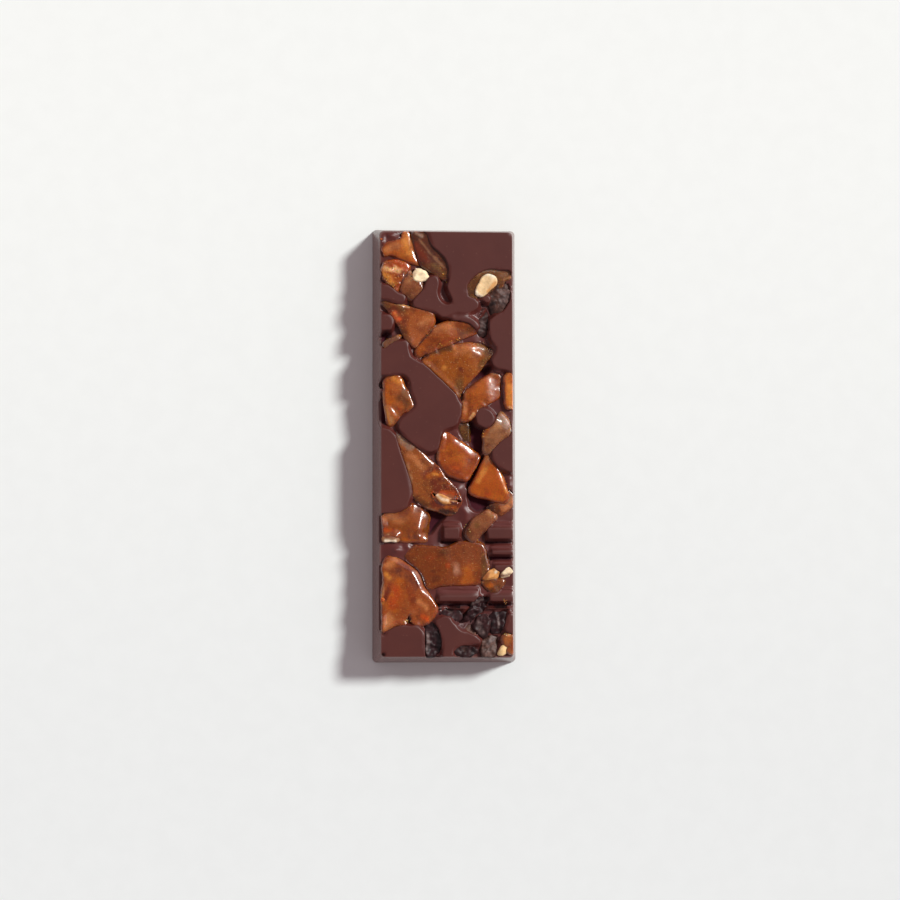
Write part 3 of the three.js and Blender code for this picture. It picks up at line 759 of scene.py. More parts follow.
toffees = {  # a stain is a tone, the path it follows and its reach; some stains are painted highlights, glints, glow and shadow
    "toffee_01": {
        "tone": "#ab5f2a", "sunk": 0.35, "speckle": 0.1, "stainStrength": 0.9,
        "bevels": [{"path": [(-10.7, 56.6), (-10.3, 54.0), (-8.8, 49.6)], "slope": 0.9, "round": 0.6}],
        "stains": [
            ("gold", [(-10.4, 56.4), (-11.0, 54.3), (-10.2, 51.4)], 1.2),
            ("honey", [(-15.9, 52.6), (-13.4, 53.4)], 1.3), ("rust", [(-17.6, 53.4), (-14.0, 55.0)], 0.6),
            ("orange", [(-14.5, 50.3), (-10.4, 49.4)], 1.0),
            ("umber", [(-8.9, 56.2), (-8.2, 52.8), (-7.3, 49.8)], 0.75),
        ],
    },
    "toffee_02": {
        "tone": "#96491f", "crumble": 0.06, "speckle": 1.0, "facet": 0.08, "sunk": 0.1,
        "stains": [
            ("ember", [(-17.0, 50.4), (-13.6, 49.7)], 1.0), ("ember", [(-14.2, 48.0), (-11.4, 48.0)], 1.3),
            ("gold", [(-18.2, 50.0), (-18.2, 46.6), (-16.4, 44.8)], 0.8),
            ("creamAndGlint", [(-16.6, 47.4), (-15.1, 46.7)], 0.9), ("creamAndGlint", [(-13.8, 47.3), (-12.6, 46.8)], 0.8),
            ("gold", [(-16.1, 45.4), (-14.6, 43.4)], 0.9), ("umber", [(-14.8, 42.4)], 0.8),
            ("ruby", [(-12.9, 45.4), (-11.8, 45.9)], 0.7),
        ],
    },
    "toffee_03": {
        "tone": "#865037", "melt": 1.6,
        "stains": [
            ("pinkAndSheen", [(-9.9, 46.6)], 0.9), ("tanAndSheen", [(-9.6, 44.9), (-10.4, 43.6)], 0.9),
            ("umber", [(-10.2, 40.9)], 1.6),
        ],
    },
    "toffee_04": {
        "tone": "#532716", "melt": 0.2, "sunk": -0.05, "growth": 0.8, "wave": 0.02, "rimShade": 0.1,
        "speckle": 0.2, "stainStrength": 1.0, "facet": 0.03,
        "stains": [
            ("ruby", [(-8.4, 53.4), (-5.8, 49.4)], 1.2), ("umber", [(-5.2, 47.6), (-1.6, 44.2)], 1.4),
            ("olive", [(-3.1, 48.0), (-1.0, 46.2)], 0.9),
            # the taupe line is a painted highlight along the ridge
            ("taupeAndSheen", [(-7.4, 55.2), (-4.6, 51.6), (-2.1, 49.2), (-0.7, 47.6)], 0.4),
            ("paintedSheen", [(-8.2, 57.0), (-6.9, 56.2)], 0.6), ("pitchAndShade", [(-0.8, 43.0), (-0.6, 40.0)], 1.0),
        ],
    },
    "toffee_05": {
        "tone": "#694229", "melt": 0.4, "growth": 0.5, "rimShade": 0.1, "facet": 0.02, "wave": 0.02,
        "stains": [
            ("film", [(4.6, 44.4), (4.8, 40.5)], 1.7), ("paintedSheen", [(9.2, 46.8), (14.3, 47.3)], 0.6),
            ("creamAndGlint", [(13.2, 47.2)], 0.4), ("taupeAndSheen", [(14.9, 46.0), (18.1, 46.2)], 0.9),
            ("tanAndSheen", [(8.4, 46.1)], 0.8), ("tanAndSheen", [(15.6, 44.6), (17.4, 45.2)], 0.4),
        ],
    },
    "toffee_06": {
        "tone": "#98532d", "speckle": 0.5,
        "stains": [
            ("olive", [(-17.6, 37.9), (-12.0, 36.0)], 1.3), ("honey", [(-6.6, 32.6), (-4.8, 34.0)], 1.1),
            ("creamAndGlint", [(-13.0, 37.7), (-10.3, 36.9)], 0.35), ("umber", [(-12.6, 32.0), (-9.9, 26.6)], 1.0),
            ("ruby", [(-14.7, 35.9), (-12.2, 32.9)], 1.7), ("flame", [(-14.2, 35.2), (-13.0, 33.7)], 0.8),
            ("gold", [(-14.1, 35.3), (-13.6, 34.6)], 0.4),
        ],
    },
    "toffee_07": {
        "tone": "#8a6048", "melt": 0.6,
        "stains": [("creamAndGlint", [(-13.1, 28.9)], 0.4), ("umber", [(-18.2, 26.0)], 1.0)],
    },
    "toffee_08": {
        "tone": "#924b25", "melt": 0.6, "speckle": 0.4, "growth": 0.14,
        "stains": [
            ("orange", [(-7.6, 26.6), (-4.0, 30.4)], 1.1), ("honey", [(-3.0, 31.0), (0.8, 32.0)], 1.6),
            ("umber", [(4.0, 29.4), (8.0, 31.6)], 1.2), ("rust", [(-2.4, 27.0), (2.6, 28.8)], 0.7),
        ],
    },
    "toffee_09": {
        "tone": "#955222", "melt": 0.35, "speckle": 0.6, "sunk": 0.15, "growth": 0.22, "wave": 0.03,
        "stainStrength": 0.9, "facet": 0.04,
        "bevels": [{"path": [(6.5, 24.8), (8.9, 23.3)], "slope": 0.7, "round": 1.7, "fade": 3.5}],
        "stains": [
            ("honey", [(2.4, 26.0), (6.6, 25.6)], 1.9), ("pitchAndShade", [(11.6, 27.2), (11.9, 24.4)], 1.2),
            ("olive", [(9.2, 27.4), (10.8, 24.0), (9.6, 20.6)], 1.1), ("gold", [(-0.6, 20.4)], 0.8),
            ("olive", [(3.4, 17.0), (4.5, 12.9)], 1.3), ("ruby", [(3.7, 20.1)], 0.9),
            ("umber", [(-5.4, 24.4), (1.0, 25.8)], 0.8),
        ],
    },
    "toffee_10": {
        "tone": "#a05a2f", "sunk": 0.15, "stainStrength": 0.95,
        "ridges": [
            {"path": [(-11.2, 16.3), (-10.4, 15.2)], "height": -0.6, "width": 0.5},
            {"path": [(-9.9, 13.6), (-9.0, 11.2)], "height": -0.6, "width": 0.48},
            {"path": [(-14.8, 10.0), (-13.4, 7.8)], "height": -0.3, "width": 0.32},
            {"path": [(-13.9, 9.6), (-12.9, 8.2)], "height": -0.25, "width": 0.3},
        ],
        "stains": [
            ("orange", [(-16.8, 16.6), (-15.4, 12.0)], 1.6), ("gold", [(-14.2, 17.8), (-12.8, 16.6)], 0.9),
            ("umber", [(-12.4, 12.4), (-10.8, 10.4)], 1.3), ("taupeAndSheen", [(-11.4, 14.2), (-10.6, 12.6)], 0.8),
            ("tanAndSheen", [(-16.6, 9.6), (-15.0, 6.0)], 0.8), ("creamAndGlint", [(-11.7, 15.4)], 0.35),
            ("gold", [(-17.3, 15.4), (-16.9, 10.4), (-15.4, 5.2)], 0.35), ("ember", [(-12.9, 9.2)], 0.4),
        ],
    },
    "toffee_11": {
        "tone": "#984f25", "melt": 0.8, "speckle": 0.2, "sunk": 0.2,
        "bevels": [
            {"path": [(9.4, 16.4), (10.7, 14.3), (10.9, 11.8)], "slope": 0.32, "round": 1.6, "lean": 0.3},
        ],
        "ridges": [
            {"path": [(12.4, 19.0), (13.8, 18.4)], "height": 0.35, "width": 0.4},
            {"path": [(6.2, 7.2), (7.6, 8.6)], "height": 0.35, "width": 0.45},
        ],
        "stains": [
            ("rust", [(13.2, 16.0), (13.2, 12.2)], 1.1), ("tanAndSheen", [(12.8, 19.2)], 0.8),
            ("pinkAndSheen", [(12.0, 14.2)], 1.0), ("honey", [(4.4, 14.6), (4.9, 8.6)], 0.7),
            ("creamAndGlint", [(6.4, 6.9), (7.3, 8.2)], 0.4), ("orange", [(8.0, 14.0), (10.4, 16.4)], 1.4),
        ],
    },
    "toffee_12": {
        "tone": "#bb6e35", "melt": 0.9, "speckle": 0.1, "stainStrength": 1.0,
        "stains": [
            ("gold", [(16.9, 15.8), (17.2, 11.0)], 0.7), ("ruby", [(15.1, 16.5), (15.2, 11.8)], 0.7),
            ("creamAndGlint", [(16.9, 9.9), (17.8, 9.6)], 0.4),
        ],
    },
    "toffee_13": {
        "tone": "#946548", "melt": 1.2, "sunk": 0.3, "stainStrength": 0.9,
        "bevels": [{"path": [(13.8, 8.6), (15.0, 6.2), (16.2, 3.4)], "slope": 0.6, "round": 1.2}],
        "stains": [
            ("paintedSheen", [(13.8, 7.4), (16.6, 4.6)], 1.3), ("orange", [(10.0, 2.4), (11.4, 5.0)], 0.8),
            ("tanAndSheen", [(14.0, 4.6)], 1.2), ("umber", [(10.8, -0.4)], 1.2), ("gold", [(9.7, 1.8)], 0.4),
        ],
    },
    "toffee_14": {
        "tone": "#54341f", "melt": 0.8, "sunk": 0.5,
        "stains": [("pitchAndShade", [(6.6, 4.6)], 0.8), ("olive", [(4.4, 4.2)], 1.0)],
    },
    "toffee_15": {
        "tone": "#984a21", "melt": 0.5, "facet": 0.04, "sunk": 0.45, "speckle": 0.15, "stainStrength": 0.9,
        "bevels": [{"path": [(1.6, 0.4), (4.2, -1.6), (6.9, -4.0)], "slope": 0.8, "round": 1.1}],
        "ridges": [
            {"path": [(-1.7, 1.9), (-1.0, 1.5)], "height": 0.35, "width": 0.4},
            {"path": [(4.6, -9.4), (5.2, -9.3)], "height": 0.35, "width": 0.35},
        ],
        "stains": [
            ("orange", [(0.2, -1.4), (3.6, -4.2)], 1.7), ("honey", [(-2.2, 0.8), (-2.5, -4.2)], 0.6),
            ("ember", [(2.4, -6.6)], 1.4), ("rust", [(-1.0, -6.2), (3.8, -8.9)], 1.1),
            ("umber", [(3.6, 1.4), (8.0, -2.2)], 0.9), ("orange", [(4.2, 0.4), (7.4, -2.2)], 0.5),
        ],
    },
    "toffee_16": {
        "tone": "#8f512c", "melt": 0.35, "open": 0.8, "sunk": 0.35, "speckle": 0.5, "stainStrength": 0.95,
        "facet": 0.06,
        "bevels": [
            {"path": [(-9.2, -0.9), (-6.9, -3.4), (-4.4, -6.2)], "slope": 0.7, "round": 0.9, "fade": 1.6},
        ],
        "ridges": [
            {"path": [(-1.4, -9.6)], "height": 0.3, "width": 0.4},
            {"path": [(0.0, -11.6)], "height": 0.3, "width": 0.35},
            {"path": [(2.4, -18.1), (2.9, -18.9)], "height": 0.4, "width": 0.35},
        ],
        "stains": [
            ("paintedSheen", [(-13.2, 2.2), (-10.0, -0.8)], 1.1), ("honey", [(-9.9, -2.6), (-6.8, -5.8)], 0.9),
            ("umber", [(-9.2, -14.4), (-5.6, -16.8)], 1.3), ("tanAndSheen", [(-10.6, -6.0), (-9.8, -10.4)], 0.8),
            ("ruby", [(-2.9, -12.0), (2.8, -12.4), (3.0, -16.2), (-3.4, -16.2)], 1.3),
            ("ruby", [(-5.8, -8.6), (-3.4, -6.4), (-0.6, -8.8), (-3.2, -10.2)], 1.2),
            ("orange", [(-4.6, -8.5), (-3.4, -7.8), (-1.6, -8.4)], 0.9),
            ("gold", [(-4.2, -8.0), (-2.6, -8.3)], 0.35), ("ember", [(-1.6, -13.0), (1.8, -13.4)], 0.7),
            ("orange", [(-0.2, -16.9), (2.0, -17.1)], 0.5), ("pitchAndShade", [(-1.8, -18.0), (2.8, -18.8)], 0.7),
            ("tanAndSheen", [(-5.8, -17.2), (-3.4, -18.1)], 0.35),
        ],
    },
    "toffee_17": {
        "tone": "#a8551f", "melt": 0.5, "open": 0.7, "sunk": 0.35, "speckle": 0.1, "stainStrength": 0.9,
        "facet": 0.05,
        "bevels": [{"path": [(11.4, -4.2), (12.9, -7.0), (15.2, -12.2)], "slope": 0.8, "round": 0.75}],
        "stains": [
            ("tanAndSheen", [(11.2, -4.6)], 1.2), ("orange", [(7.4, -12.6), (14.6, -15.1)], 1.1),
            ("gold", [(8.6, -10.4), (10.4, -6.6)], 0.8), ("ember", [(11.0, -13.6)], 1.1),
            ("gold", [(14.6, -8.4), (16.2, -13.2)], 0.4),
        ],
    },
    "toffee_18": {
        "tone": "#7f4327", "sunk": 0.5,
        "stains": [
            # the pitch stain here is painted shadow of the shard beside it
            ("pitchAndShade", [(6.9, -14.4), (12.2, -17.4)], 1.9), ("tanAndSheen", [(16.0, -13.4), (18.0, -16.0)], 1.1),
            ("honey", [(15.4, -17.4), (17.6, -16.0)], 0.9),
        ],
    },
    "toffee_19": {
        "tone": "#865238", "melt": 0.8,
        "stains": [
            ("umber", [(5.2, -23.6)], 1.3), ("tanAndSheen", [(11.2, -18.6), (12.8, -19.6)], 0.6),
            ("olive", [(8.0, -21.8)], 1.0),
        ],
    },
    "toffee_20": {
        "tone": "#8c4a27", "melt": 0.8, "sunk": 0.6, "speckle": 0.15, "facet": 0.05,
        "bevels": [{"path": [(-7.2, -17.2), (-7.4, -20.0), (-7.9, -23.0)], "slope": 0.85, "round": 1.15}],
        "ridges": [
            {"path": [spot], "height": 0.5, "width": 0.42}
            for spot in ((-14.1, -23.8), (-13.2, -24.3), (-9.8, -25.0), (-8.4, -24.8), (-7.3, -25.2))
        ],
        "stains": [
            ("honey", [(-17.1, -19.3), (-12.0, -20.4)], 1.4),
            ("ember", [(-16.6, -23.3), (-14.9, -23.3)], 0.7), ("ruby", [(-14.4, -23.0)], 0.5),
            ("orange", [(-12.2, -26.2), (-7.2, -26.6)], 0.8),
            ("umber", [(-5.4, -18.6), (-5.2, -24.0)], 0.8),
        ],
    },
    "toffee_21": {
        "tone": "#924c2a", "melt": 0.4, "facet": 0.05, "sunk": 0.15, "stainStrength": 0.95,
        "bevels": [
            {
                "path": [
                    (-15.6, -31.4), (-13.0, -32.5), (-9.6, -34.6), (-8.0, -37.3), (-6.9, -39.8), (-4.8, -41.9),
                ],
                "slope": 0.95, "round": 0.3, "lean": 0,
            },
        ],
        "stains": [
            ("honey", [(-16.2, -32.6), (-14.0, -31.4)], 1.1),
            ("gold", [(-16.6, -35.4), (-15.6, -36.2)], 0.8),
            ("plum", [(-13.0, -34.6), (-10.2, -36.0), (-9.2, -38.4)], 1.5),
            ("tanAndSheen", [(-17.4, -37.0), (-17.2, -40.4)], 0.5),
            ("orange", [(-14.6, -43.4), (-12.4, -37.4)], 2.1),
            ("ruby", [(-16.6, -41.6), (-15.4, -38.0)], 0.7),
            ("ember", [(-14.2, -39.0), (-13.4, -40.6), (-14.6, -43.0)], 1.5),
            ("rust", [(-10.4, -38.6), (-9.0, -43.0)], 1.2), ("honey", [(-7.6, -42.6), (-5.8, -43.8)], 0.9),
            ("flame", [(-6.6, -46.4), (-5.2, -47.0)], 0.8),
            ("gold", [(-17.6, -40.8), (-17.3, -43.0)], 0.45), ("pitchAndShade", [(-10.2, -47.0)], 0.7),
            ("ruby", [(-12.0, -32.6), (-9.0, -34.6), (-7.6, -38.0)], 0.7),
            ("honey", [(-15.4, -46.8), (-16.6, -50.0)], 1.5),
        ],
    },
    "toffee_22": {
        "tone": "#7d3e20", "speckle": 0.4,
        "stains": [
            ("umber", [(-0.4, -29.0)], 1.8), ("orange", [(3.9, -39.2), (6.6, -33.6)], 2.0),
            ("olive", [(9.7, -30.2), (10.2, -35.0)], 0.9), ("rust", [(-4.4, -31.0)], 1.4),
            ("ember", [(0.3, -32.9)], 0.8), ("pinkAndSheen", [(2.2, -33.1), (2.9, -34.6)], 1.0),
        ],
    },
    "toffee_23": {
        "tone": "#74401f", "melt": 0.8,
        "stains": [("orange", [(11.6, -38.2)], 1.0), ("tanAndSheen", [(9.6, -37.2)], 0.4)],
    },
    "toffee_24": {
        "tone": "#9d5e35",
        "stains": [("rust", [(17.4, -54.4)], 1.1), ("creamAndGlint", [(16.6, -51.4)], 0.5)],
    },
}


def outlineOf(mesh):
    # the upper edges of a solid's upright faces, with the way each one faces
    upright, level = 0.3, 0.15
    points = meshPoints(mesh)
    middle = (points[:, 2].min() + points[:, 2].max()) / 2
    starts, ends, facings = [], [], []
    for face in mesh.polygons:
        if abs(face.normal.z) > upright:
            continue
        corners = list(face.vertices)
        for a, b in zip(corners, corners[1:] + corners[:1]):
            p, q = points[a], points[b]
            run = np.hypot(*(q - p)[:2])
            if p[2] > middle and q[2] > middle and abs(q[2] - p[2]) < level * run:
                starts.append(p[:2])
                ends.append(q[:2])
                facings.append(np.array(face.normal)[:2] / np.hypot(face.normal.x, face.normal.y))
    return np.array(starts), np.array(ends), np.array(facings)


def nearestEdge(spots, starts, ends, facings):
    # distance to the outline and the way it faces there
    run = ends - starts
    length = np.maximum((run ** 2).sum(1), 1e-9)
    best, facing = np.full(len(spots), farOff), np.zeros((len(spots), 2))
    for start, step, square, way in zip(starts, run, length, facings):
        share = np.clip((spots - start) @ step / square, 0, 1)
        distance = np.hypot(*(spots - start - share[:, None] * step).T)
        nearer = distance < best
        best[nearer] = distance[nearer]
        facing[nearer] = way
    return best, facing


def remeshed(name, source, voxel, smoothing):
    # the solid as one fine even skin, worked on in millimetres
    mesh = source.data.copy()
    mesh.transform(source.matrix_world)
    mesh.vertices.foreach_set("co", meshPoints(mesh).astype(np.float32).ravel())
    draft = bpy.data.objects.new(name + "Draft", mesh)
    bpy.context.scene.collection.objects.link(draft)
    skin = draft.modifiers.new("skin", "REMESH")
    skin.mode, skin.voxel_size = "VOXEL", voxel
    soft = draft.modifiers.new("soft", "SMOOTH")
    soft.factor, soft.iterations = 0.5, smoothing
    ready = draft.evaluated_get(bpy.context.evaluated_depsgraph_get())
    fine = bpy.data.meshes.new_from_object(ready)
    fine.name = name
    points = np.empty(len(fine.vertices) * 3, np.float32)
    fine.vertices.foreach_get("co", points)
    fine.vertices.foreach_set("co", points * mm)
    fine.update()
    bpy.data.objects.remove(draft)
    fine.materials.clear()
    fine.shade_smooth()
    piece = bpy.data.objects.new(name, fine)
    bpy.context.scene.collection.objects.link(piece)
    return piece


def insideWalls(points, gap=0.02):
    # draws in what would stand out of the leaning walls
    room = np.maximum(points[:, 2] - block["baseRound"], 0) / wallRise + gap
    points[:, 0] = np.clip(points[:, 0], room - barWidth / 2, barWidth / 2 - room)
    points[:, 1] = np.clip(points[:, 1], room - barLength / 2, barLength / 2 - room)
    points[:, 2] = np.clip(points[:, 2], 0, barHeight)
    return points


almondTops = castDown(treeOf([name for name in nodes if name.startswith("almond")]))
besideAlmond = blurred((~np.isnan(almondTops)).astype(float), 0.5)
besidePlateau = blurred(moulded, 0.5)


def cornerPulls(starts, ends):
    # from the middle of each blunt corner to where its neighbours would meet
    longest, joined, leastTurn, furthest = 1.6, 0.05, 0.35, 0.9
    pulls = []
    for start, end in zip(starts, ends):
        middle, cut = (start + end) / 2, np.hypot(*(end - start))
        after = np.hypot(*(starts - end).T)
        before = np.hypot(*(ends - start).T)
        j, k = after.argmin(), before.argmin()
        if cut > longest or after[j] > joined or before[k] > joined:
            continue
        one, two = ends[j] - starts[j], ends[k] - starts[k]
        cross = two[0] * one[1] - two[1] * one[0]
        if abs(cross) < leastTurn * np.hypot(*one) * np.hypot(*two):
            continue
        gap = starts[j] - starts[k]
        meeting = starts[k] + two * (gap[0] * one[1] - gap[1] * one[0]) / cross
        reach = meeting - middle
        share = min(1, furthest / max(np.hypot(*reach), 1e-6))
        pulls.append((middle, reach * share, 0.35 + 0.4 * cut))
    return pulls


def brokenFaces(spots, facet, random):
    # how far the lowest of four slightly sloping faces lies below the top at each spot
    middle, faces = spots.mean(0), []
    for turn in random.uniform(0, 2 * math.pi) + np.arange(4) * math.pi / 2:
        slope, way = facet * random.uniform(0.3, 1.6), [math.cos(turn), math.sin(turn)]
        faces.append(slope * (spots - middle - random.uniform(-2, 2, 2)) @ way)
    return np.maximum.reduce(faces)


def bevelDrops(spots, bevel):
    # the bevel itself, and a lean along it that makes its whole length mirror the key light
    side, beyond = sideOf(spots, bevel["path"])
    fade = 1 - smoothStep(0.2, bevel.get("fade", 2.5), beyond)
    run = np.subtract(bevel["path"][-1], bevel["path"][0]).astype(float)
    span = np.hypot(*run)
    run /= span
    along = np.clip((spots - bevel["path"][0]) @ run, 0, span) - span / 2
    lean = bevel.get("lean", 1) * shineSlope * (run @ towardsLight)
    fall = np.hypot(np.maximum(side, 0), bevel["round"]) - bevel["round"]
    return fade * bevel["slope"] * fall, lean * along * hump(side, 1.8) * fade


pieceEdge = {
    "margin": 1.2,  # room round a piece's outline
    "lookOut": 0.7,  # how far past the outline its neighbours are felt
    "slight": 0.14,  # rounding where something holds the edge
    "deepest": 1.6,
    "heldPush": 0.15,  # more growth towards a plateau
    "clingPush": 0.35,  # and towards an almond
    "wallReach": 0.15,  # how near the bar's own wall an edge counts as cut off by it
}


def upperFace(source, look, seed):
    # maps over the piece's own rectangle: the drop of its upper face, its outward push, and where its rim is
    starts, ends, facings = outlineOf(source.data)
    corner = np.minimum(starts, ends).min(0) - pieceEdge["margin"]
    count = np.ceil((np.maximum(starts, ends).max(0) + pieceEdge["margin"] - corner) / mapCell).astype(int)
    x, y = np.meshgrid(*(corner[i] + mapCell * np.arange(count[i]) for i in range(2)))
    spots = np.column_stack([x.ravel(), y.ravel()])
    distance, facing = nearestEdge(spots, starts, ends, facings)
    onWall = insetAt(*((starts + ends) / 2).T) < block["edgeInset"] + pieceEdge["wallReach"]
    wallDistance = np.full(len(spots), 9.0)
    if onWall.any():
        wallDistance = nearestEdge(spots, starts[onWall], ends[onWall], facings[onWall])[0]
    offWall = smoothStep(0.1, 0.9, wallDistance)
    lit = smoothStep(-0.2, 0.9, facing @ towardsLight)
    beyond = spots + facing * pieceEdge["lookOut"]
    clinging = smoothStep(0.25, 0.6, sampled(besideAlmond, *beyond.T))
    held = smoothStep(0.25, 0.6, sampled(besidePlateau, *beyond.T)) * (1 - look["open"])
    held = np.maximum(held, clinging)

    # the edges melt away where nothing holds them, and the face is uneven and broken
    melt = pieceEdge["slight"] + (look["melt"] - pieceEdge["slight"]) * lit * (1 - held) * offWall
    inwards = np.clip(distance + 0.1, 0, melt)
    drop = melt - np.sqrt(np.maximum(melt ** 2 - (melt - inwards) ** 2, 0))
    form = look["wave"] * (softNoise(spots, 3.6, seed + 1) + 0.3 * softNoise(spots, 1.6, seed + 2))
    form -= np.minimum(drop, pieceEdge["deepest"]) + look["sunk"]
    form -= brokenFaces(spots, look["facet"], np.random.default_rng(seed + 5))
    form *= 1 - 0.85 * held * (1 - smoothStep(0.3, 1.8, distance))
    if look["wrinkles"]:
        stretched = spots @ [[0.75, 0.35], [-0.25, 1.35]]
        broad, narrow = (np.abs(softNoise(stretched, *way)) for way in ((1.5, seed + 8), (0.7, seed + 9)))
        form += look["wrinkles"] * (1 - broad - 0.4 * narrow - 0.8)
    for bevel in look.get("bevels", []):
        for fall in bevelDrops(spots, bevel):
            form -= fall
    for ridge in look.get("ridges", []):
        form += ridge["height"] * hump(awayFrom(spots, ridge["path"]), ridge["width"])

    # the outline grows to close the gap, gets rough, and gets its corners back
    push = look["growth"] + pieceEdge["heldPush"] * held + pieceEdge["clingPush"] * clinging
    push = push * (1 - smoothStep(0.3, 1.3, distance)) * smoothStep(0.1, 0.6, wallDistance)
    rough = softNoise(spots, 1.8, seed) * look["roughEdge"]
    push += rough * (1 - smoothStep(0.2, 0.9, distance)) * offWall
    shifts = facing * push[:, None]
    for middle, reach, size in cornerPulls(starts, ends):
        near = hump(np.hypot(*(spots - middle).T), size) * offWall
        shifts += look["sharp"] * near[:, None] * reach
    fields = [form, shifts[:, 0], shifts[:, 1], distance, np.maximum(lit * (1 - held), clinging)]
    return corner, [blurred(field.reshape(x.shape), look["soften"]) for field in fields]


def warmed(code, warmth=1):
    # the tone seen in the light, without the pale sheen that lies over it
    seen = np.array(colour(code)[:3])
    bare = np.maximum(seen * [1.06, 0.96, 0.9] - [0, 0.004, 0.014], 0.002)
    return (*np.minimum(seen + warmth * (bare - seen), 1), 1)


def sculpt(piece, source, look, seed):
    thinnest, clear = 0.6, 0.03  # millimetres left of the piece, and kept below the mould face
    points = meshPoints(piece.data)
    corner, fields = upperFace(source, look, seed)
    form, shiftX, shiftY, distance, lit = (sampled(field, *points.T[:2], corner) for field in fields)
    bottom, top = points[:, 2].min(), points[:, 2].max()
    share = (points[:, 2] - bottom) / (top - bottom)
    target = np.clip(top + form, bottom + thinnest, barHeight - clear)
    points[:, 2] = bottom + share * (target - bottom)
    points[:, 0] += shiftX
    points[:, 1] += shiftY
    setPoints(piece.data, points)
    normals = vertexValues(piece.data, "normal")
    uneven = (softNoise(points, 0.9, seed + 3) + 0.5 * softNoise(points, 0.45, seed + 4)) * look["crumble"]
    setPoints(piece.data, insideWalls(points + normals * uneven[:, None]))
    spots = points[:, :2]
    tint = np.tile(warmed(look["tone"], look["warmth"]), (len(points), 1))
    # stains: tones, with painted highlights, glints, glow and shadow among them
    for number, (name, path, reach) in enumerate(look.get("stains", [])):
        away = awayFrom(spots, path) / reach + 0.3 * softNoise(spots, 1.1, seed + 20 + number)
        share = (1 - smoothStep(0.1, 1.45, away))[:, None]
        tint += share * look["stainStrength"] * (np.array(warmed(tints[name], look["warmth"])) - tint)
    # painted shade near the outline, less where the edge faces the light
    shaded = look["rimShade"] * (1 - smoothStep(0.1, 0.9, distance)) * (1 - 0.7 * lit)
    tint[:, :3] *= 1 - shaded[:, None] * [0.85, 1, 1]
    paintColour(piece, "tint", tint)


def makePieces(looks, usual, stem, firstSeed, finish):
    # one sculpted piece for each of the solids; the record's slot for it is looked up, but nothing uses it
    slots = {entry["node"]: entry["material_slot"] for entry in frame["record"]["subparts"]}
    for number, (name, ownLook) in enumerate(looks.items()):
        look = {**usual, **ownLook}
        pieceName = stem + name.split("_")[1]
        piece = remeshed(pieceName, nodes[name], look["voxel"], look["smoothing"])
        sculpt(piece, nodes[name], look, firstSeed + 7 * number)
        piece.data.materials.append(finish(pieceName, look, number))
        belongs(piece, slots[name], name)
    print(stem, "pieces made")


def mattMaterial(name, look):
    # rough matter with its painted tones, a cloudy grain and fine bumps
    material, tree = newMaterial(name)
    flecks = remap(tree, grain(tree, look["fleckSize"], 4), *look["fleckRange"])
    base = blend(tree, 1.0, painted(tree, "tint", "Color"), flecks, "MULTIPLY")
    fine = bumps(tree, grain(tree, look["bumpSize"], 4), look["bumpDepth"])
    finishMaterial(tree, {"Base Color": base, "Normal": fine, **look["shader"]})
    return material


toffeeFinish = {
    "deep": (0.66, 0.56, 0.52, 1),  # the darker clouds, as shares of the painted tone
    "pale": (1.12, 1.2, 1.26, 1),
    "fleck": "#d9a468",
    "shader": {
        "Roughness": 0.38, "IOR": 1.5, "Specular IOR Level": 0.25, "Subsurface Weight": 0.8,
        "Subsurface Radius": (1.0, 0.4, 0.15), "Subsurface Scale": 1.2 * mm,
        "Coat Weight": 1.0, "Coat Roughness": 0.17,
    },
}


def toffeeMaterial(name, look, shift):
    material, tree = newMaterial(name)
    tint = painted(tree, "tint", "Color")
    deep = blend(tree, 1.0, tint, toffeeFinish["deep"], "MULTIPLY")
    pale = blend(tree, 1.0, tint, toffeeFinish["pale"], "MULTIPLY")
    base = blend(tree, remap(tree, grain(tree, 3.2, 2, shift), 0.34, 0.5, 0.2, 1), deep, tint)
    base = blend(tree, remap(tree, grain(tree, 1.5, 3, shift + 9), 0.5, 0.7, 0, 0.7), base, pale)
    fineGrain = remap(tree, grain(tree, 0.32, 3, shift + 5), 0.3, 0.7, 0.84, 1.16)
    base = blend(tree, 1.0, base, fineGrain, "MULTIPLY")
    flecks = remap(tree, grain(tree, 0.4, 2, shift + 3), 0.62, 0.7)
    speckled = remap(tree, flecks, 0, 1, 0, 0.75 * look["speckle"])
    base = blend(tree, speckled, base, colour(toffeeFinish["fleck"]))
    fine = bumps(tree, grain(tree, 0.45, 3, shift), 0.006)
    fine = bumps(tree, flecks, 0.012 * look["speckle"], fine)
    finishMaterial(tree, {"Base Color": base, "Normal": fine, **toffeeFinish["shader"]})
    return material


def shardFinish(name, look, number):
    return toffeeMaterial(name, look, number * 13.0)  # each shard has clouds of its own


makePieces(toffees, toffee, "toffeeShard", firstSeed=100, finish=shardFinish)


# crumbs of toffee along the cracks and broken edges

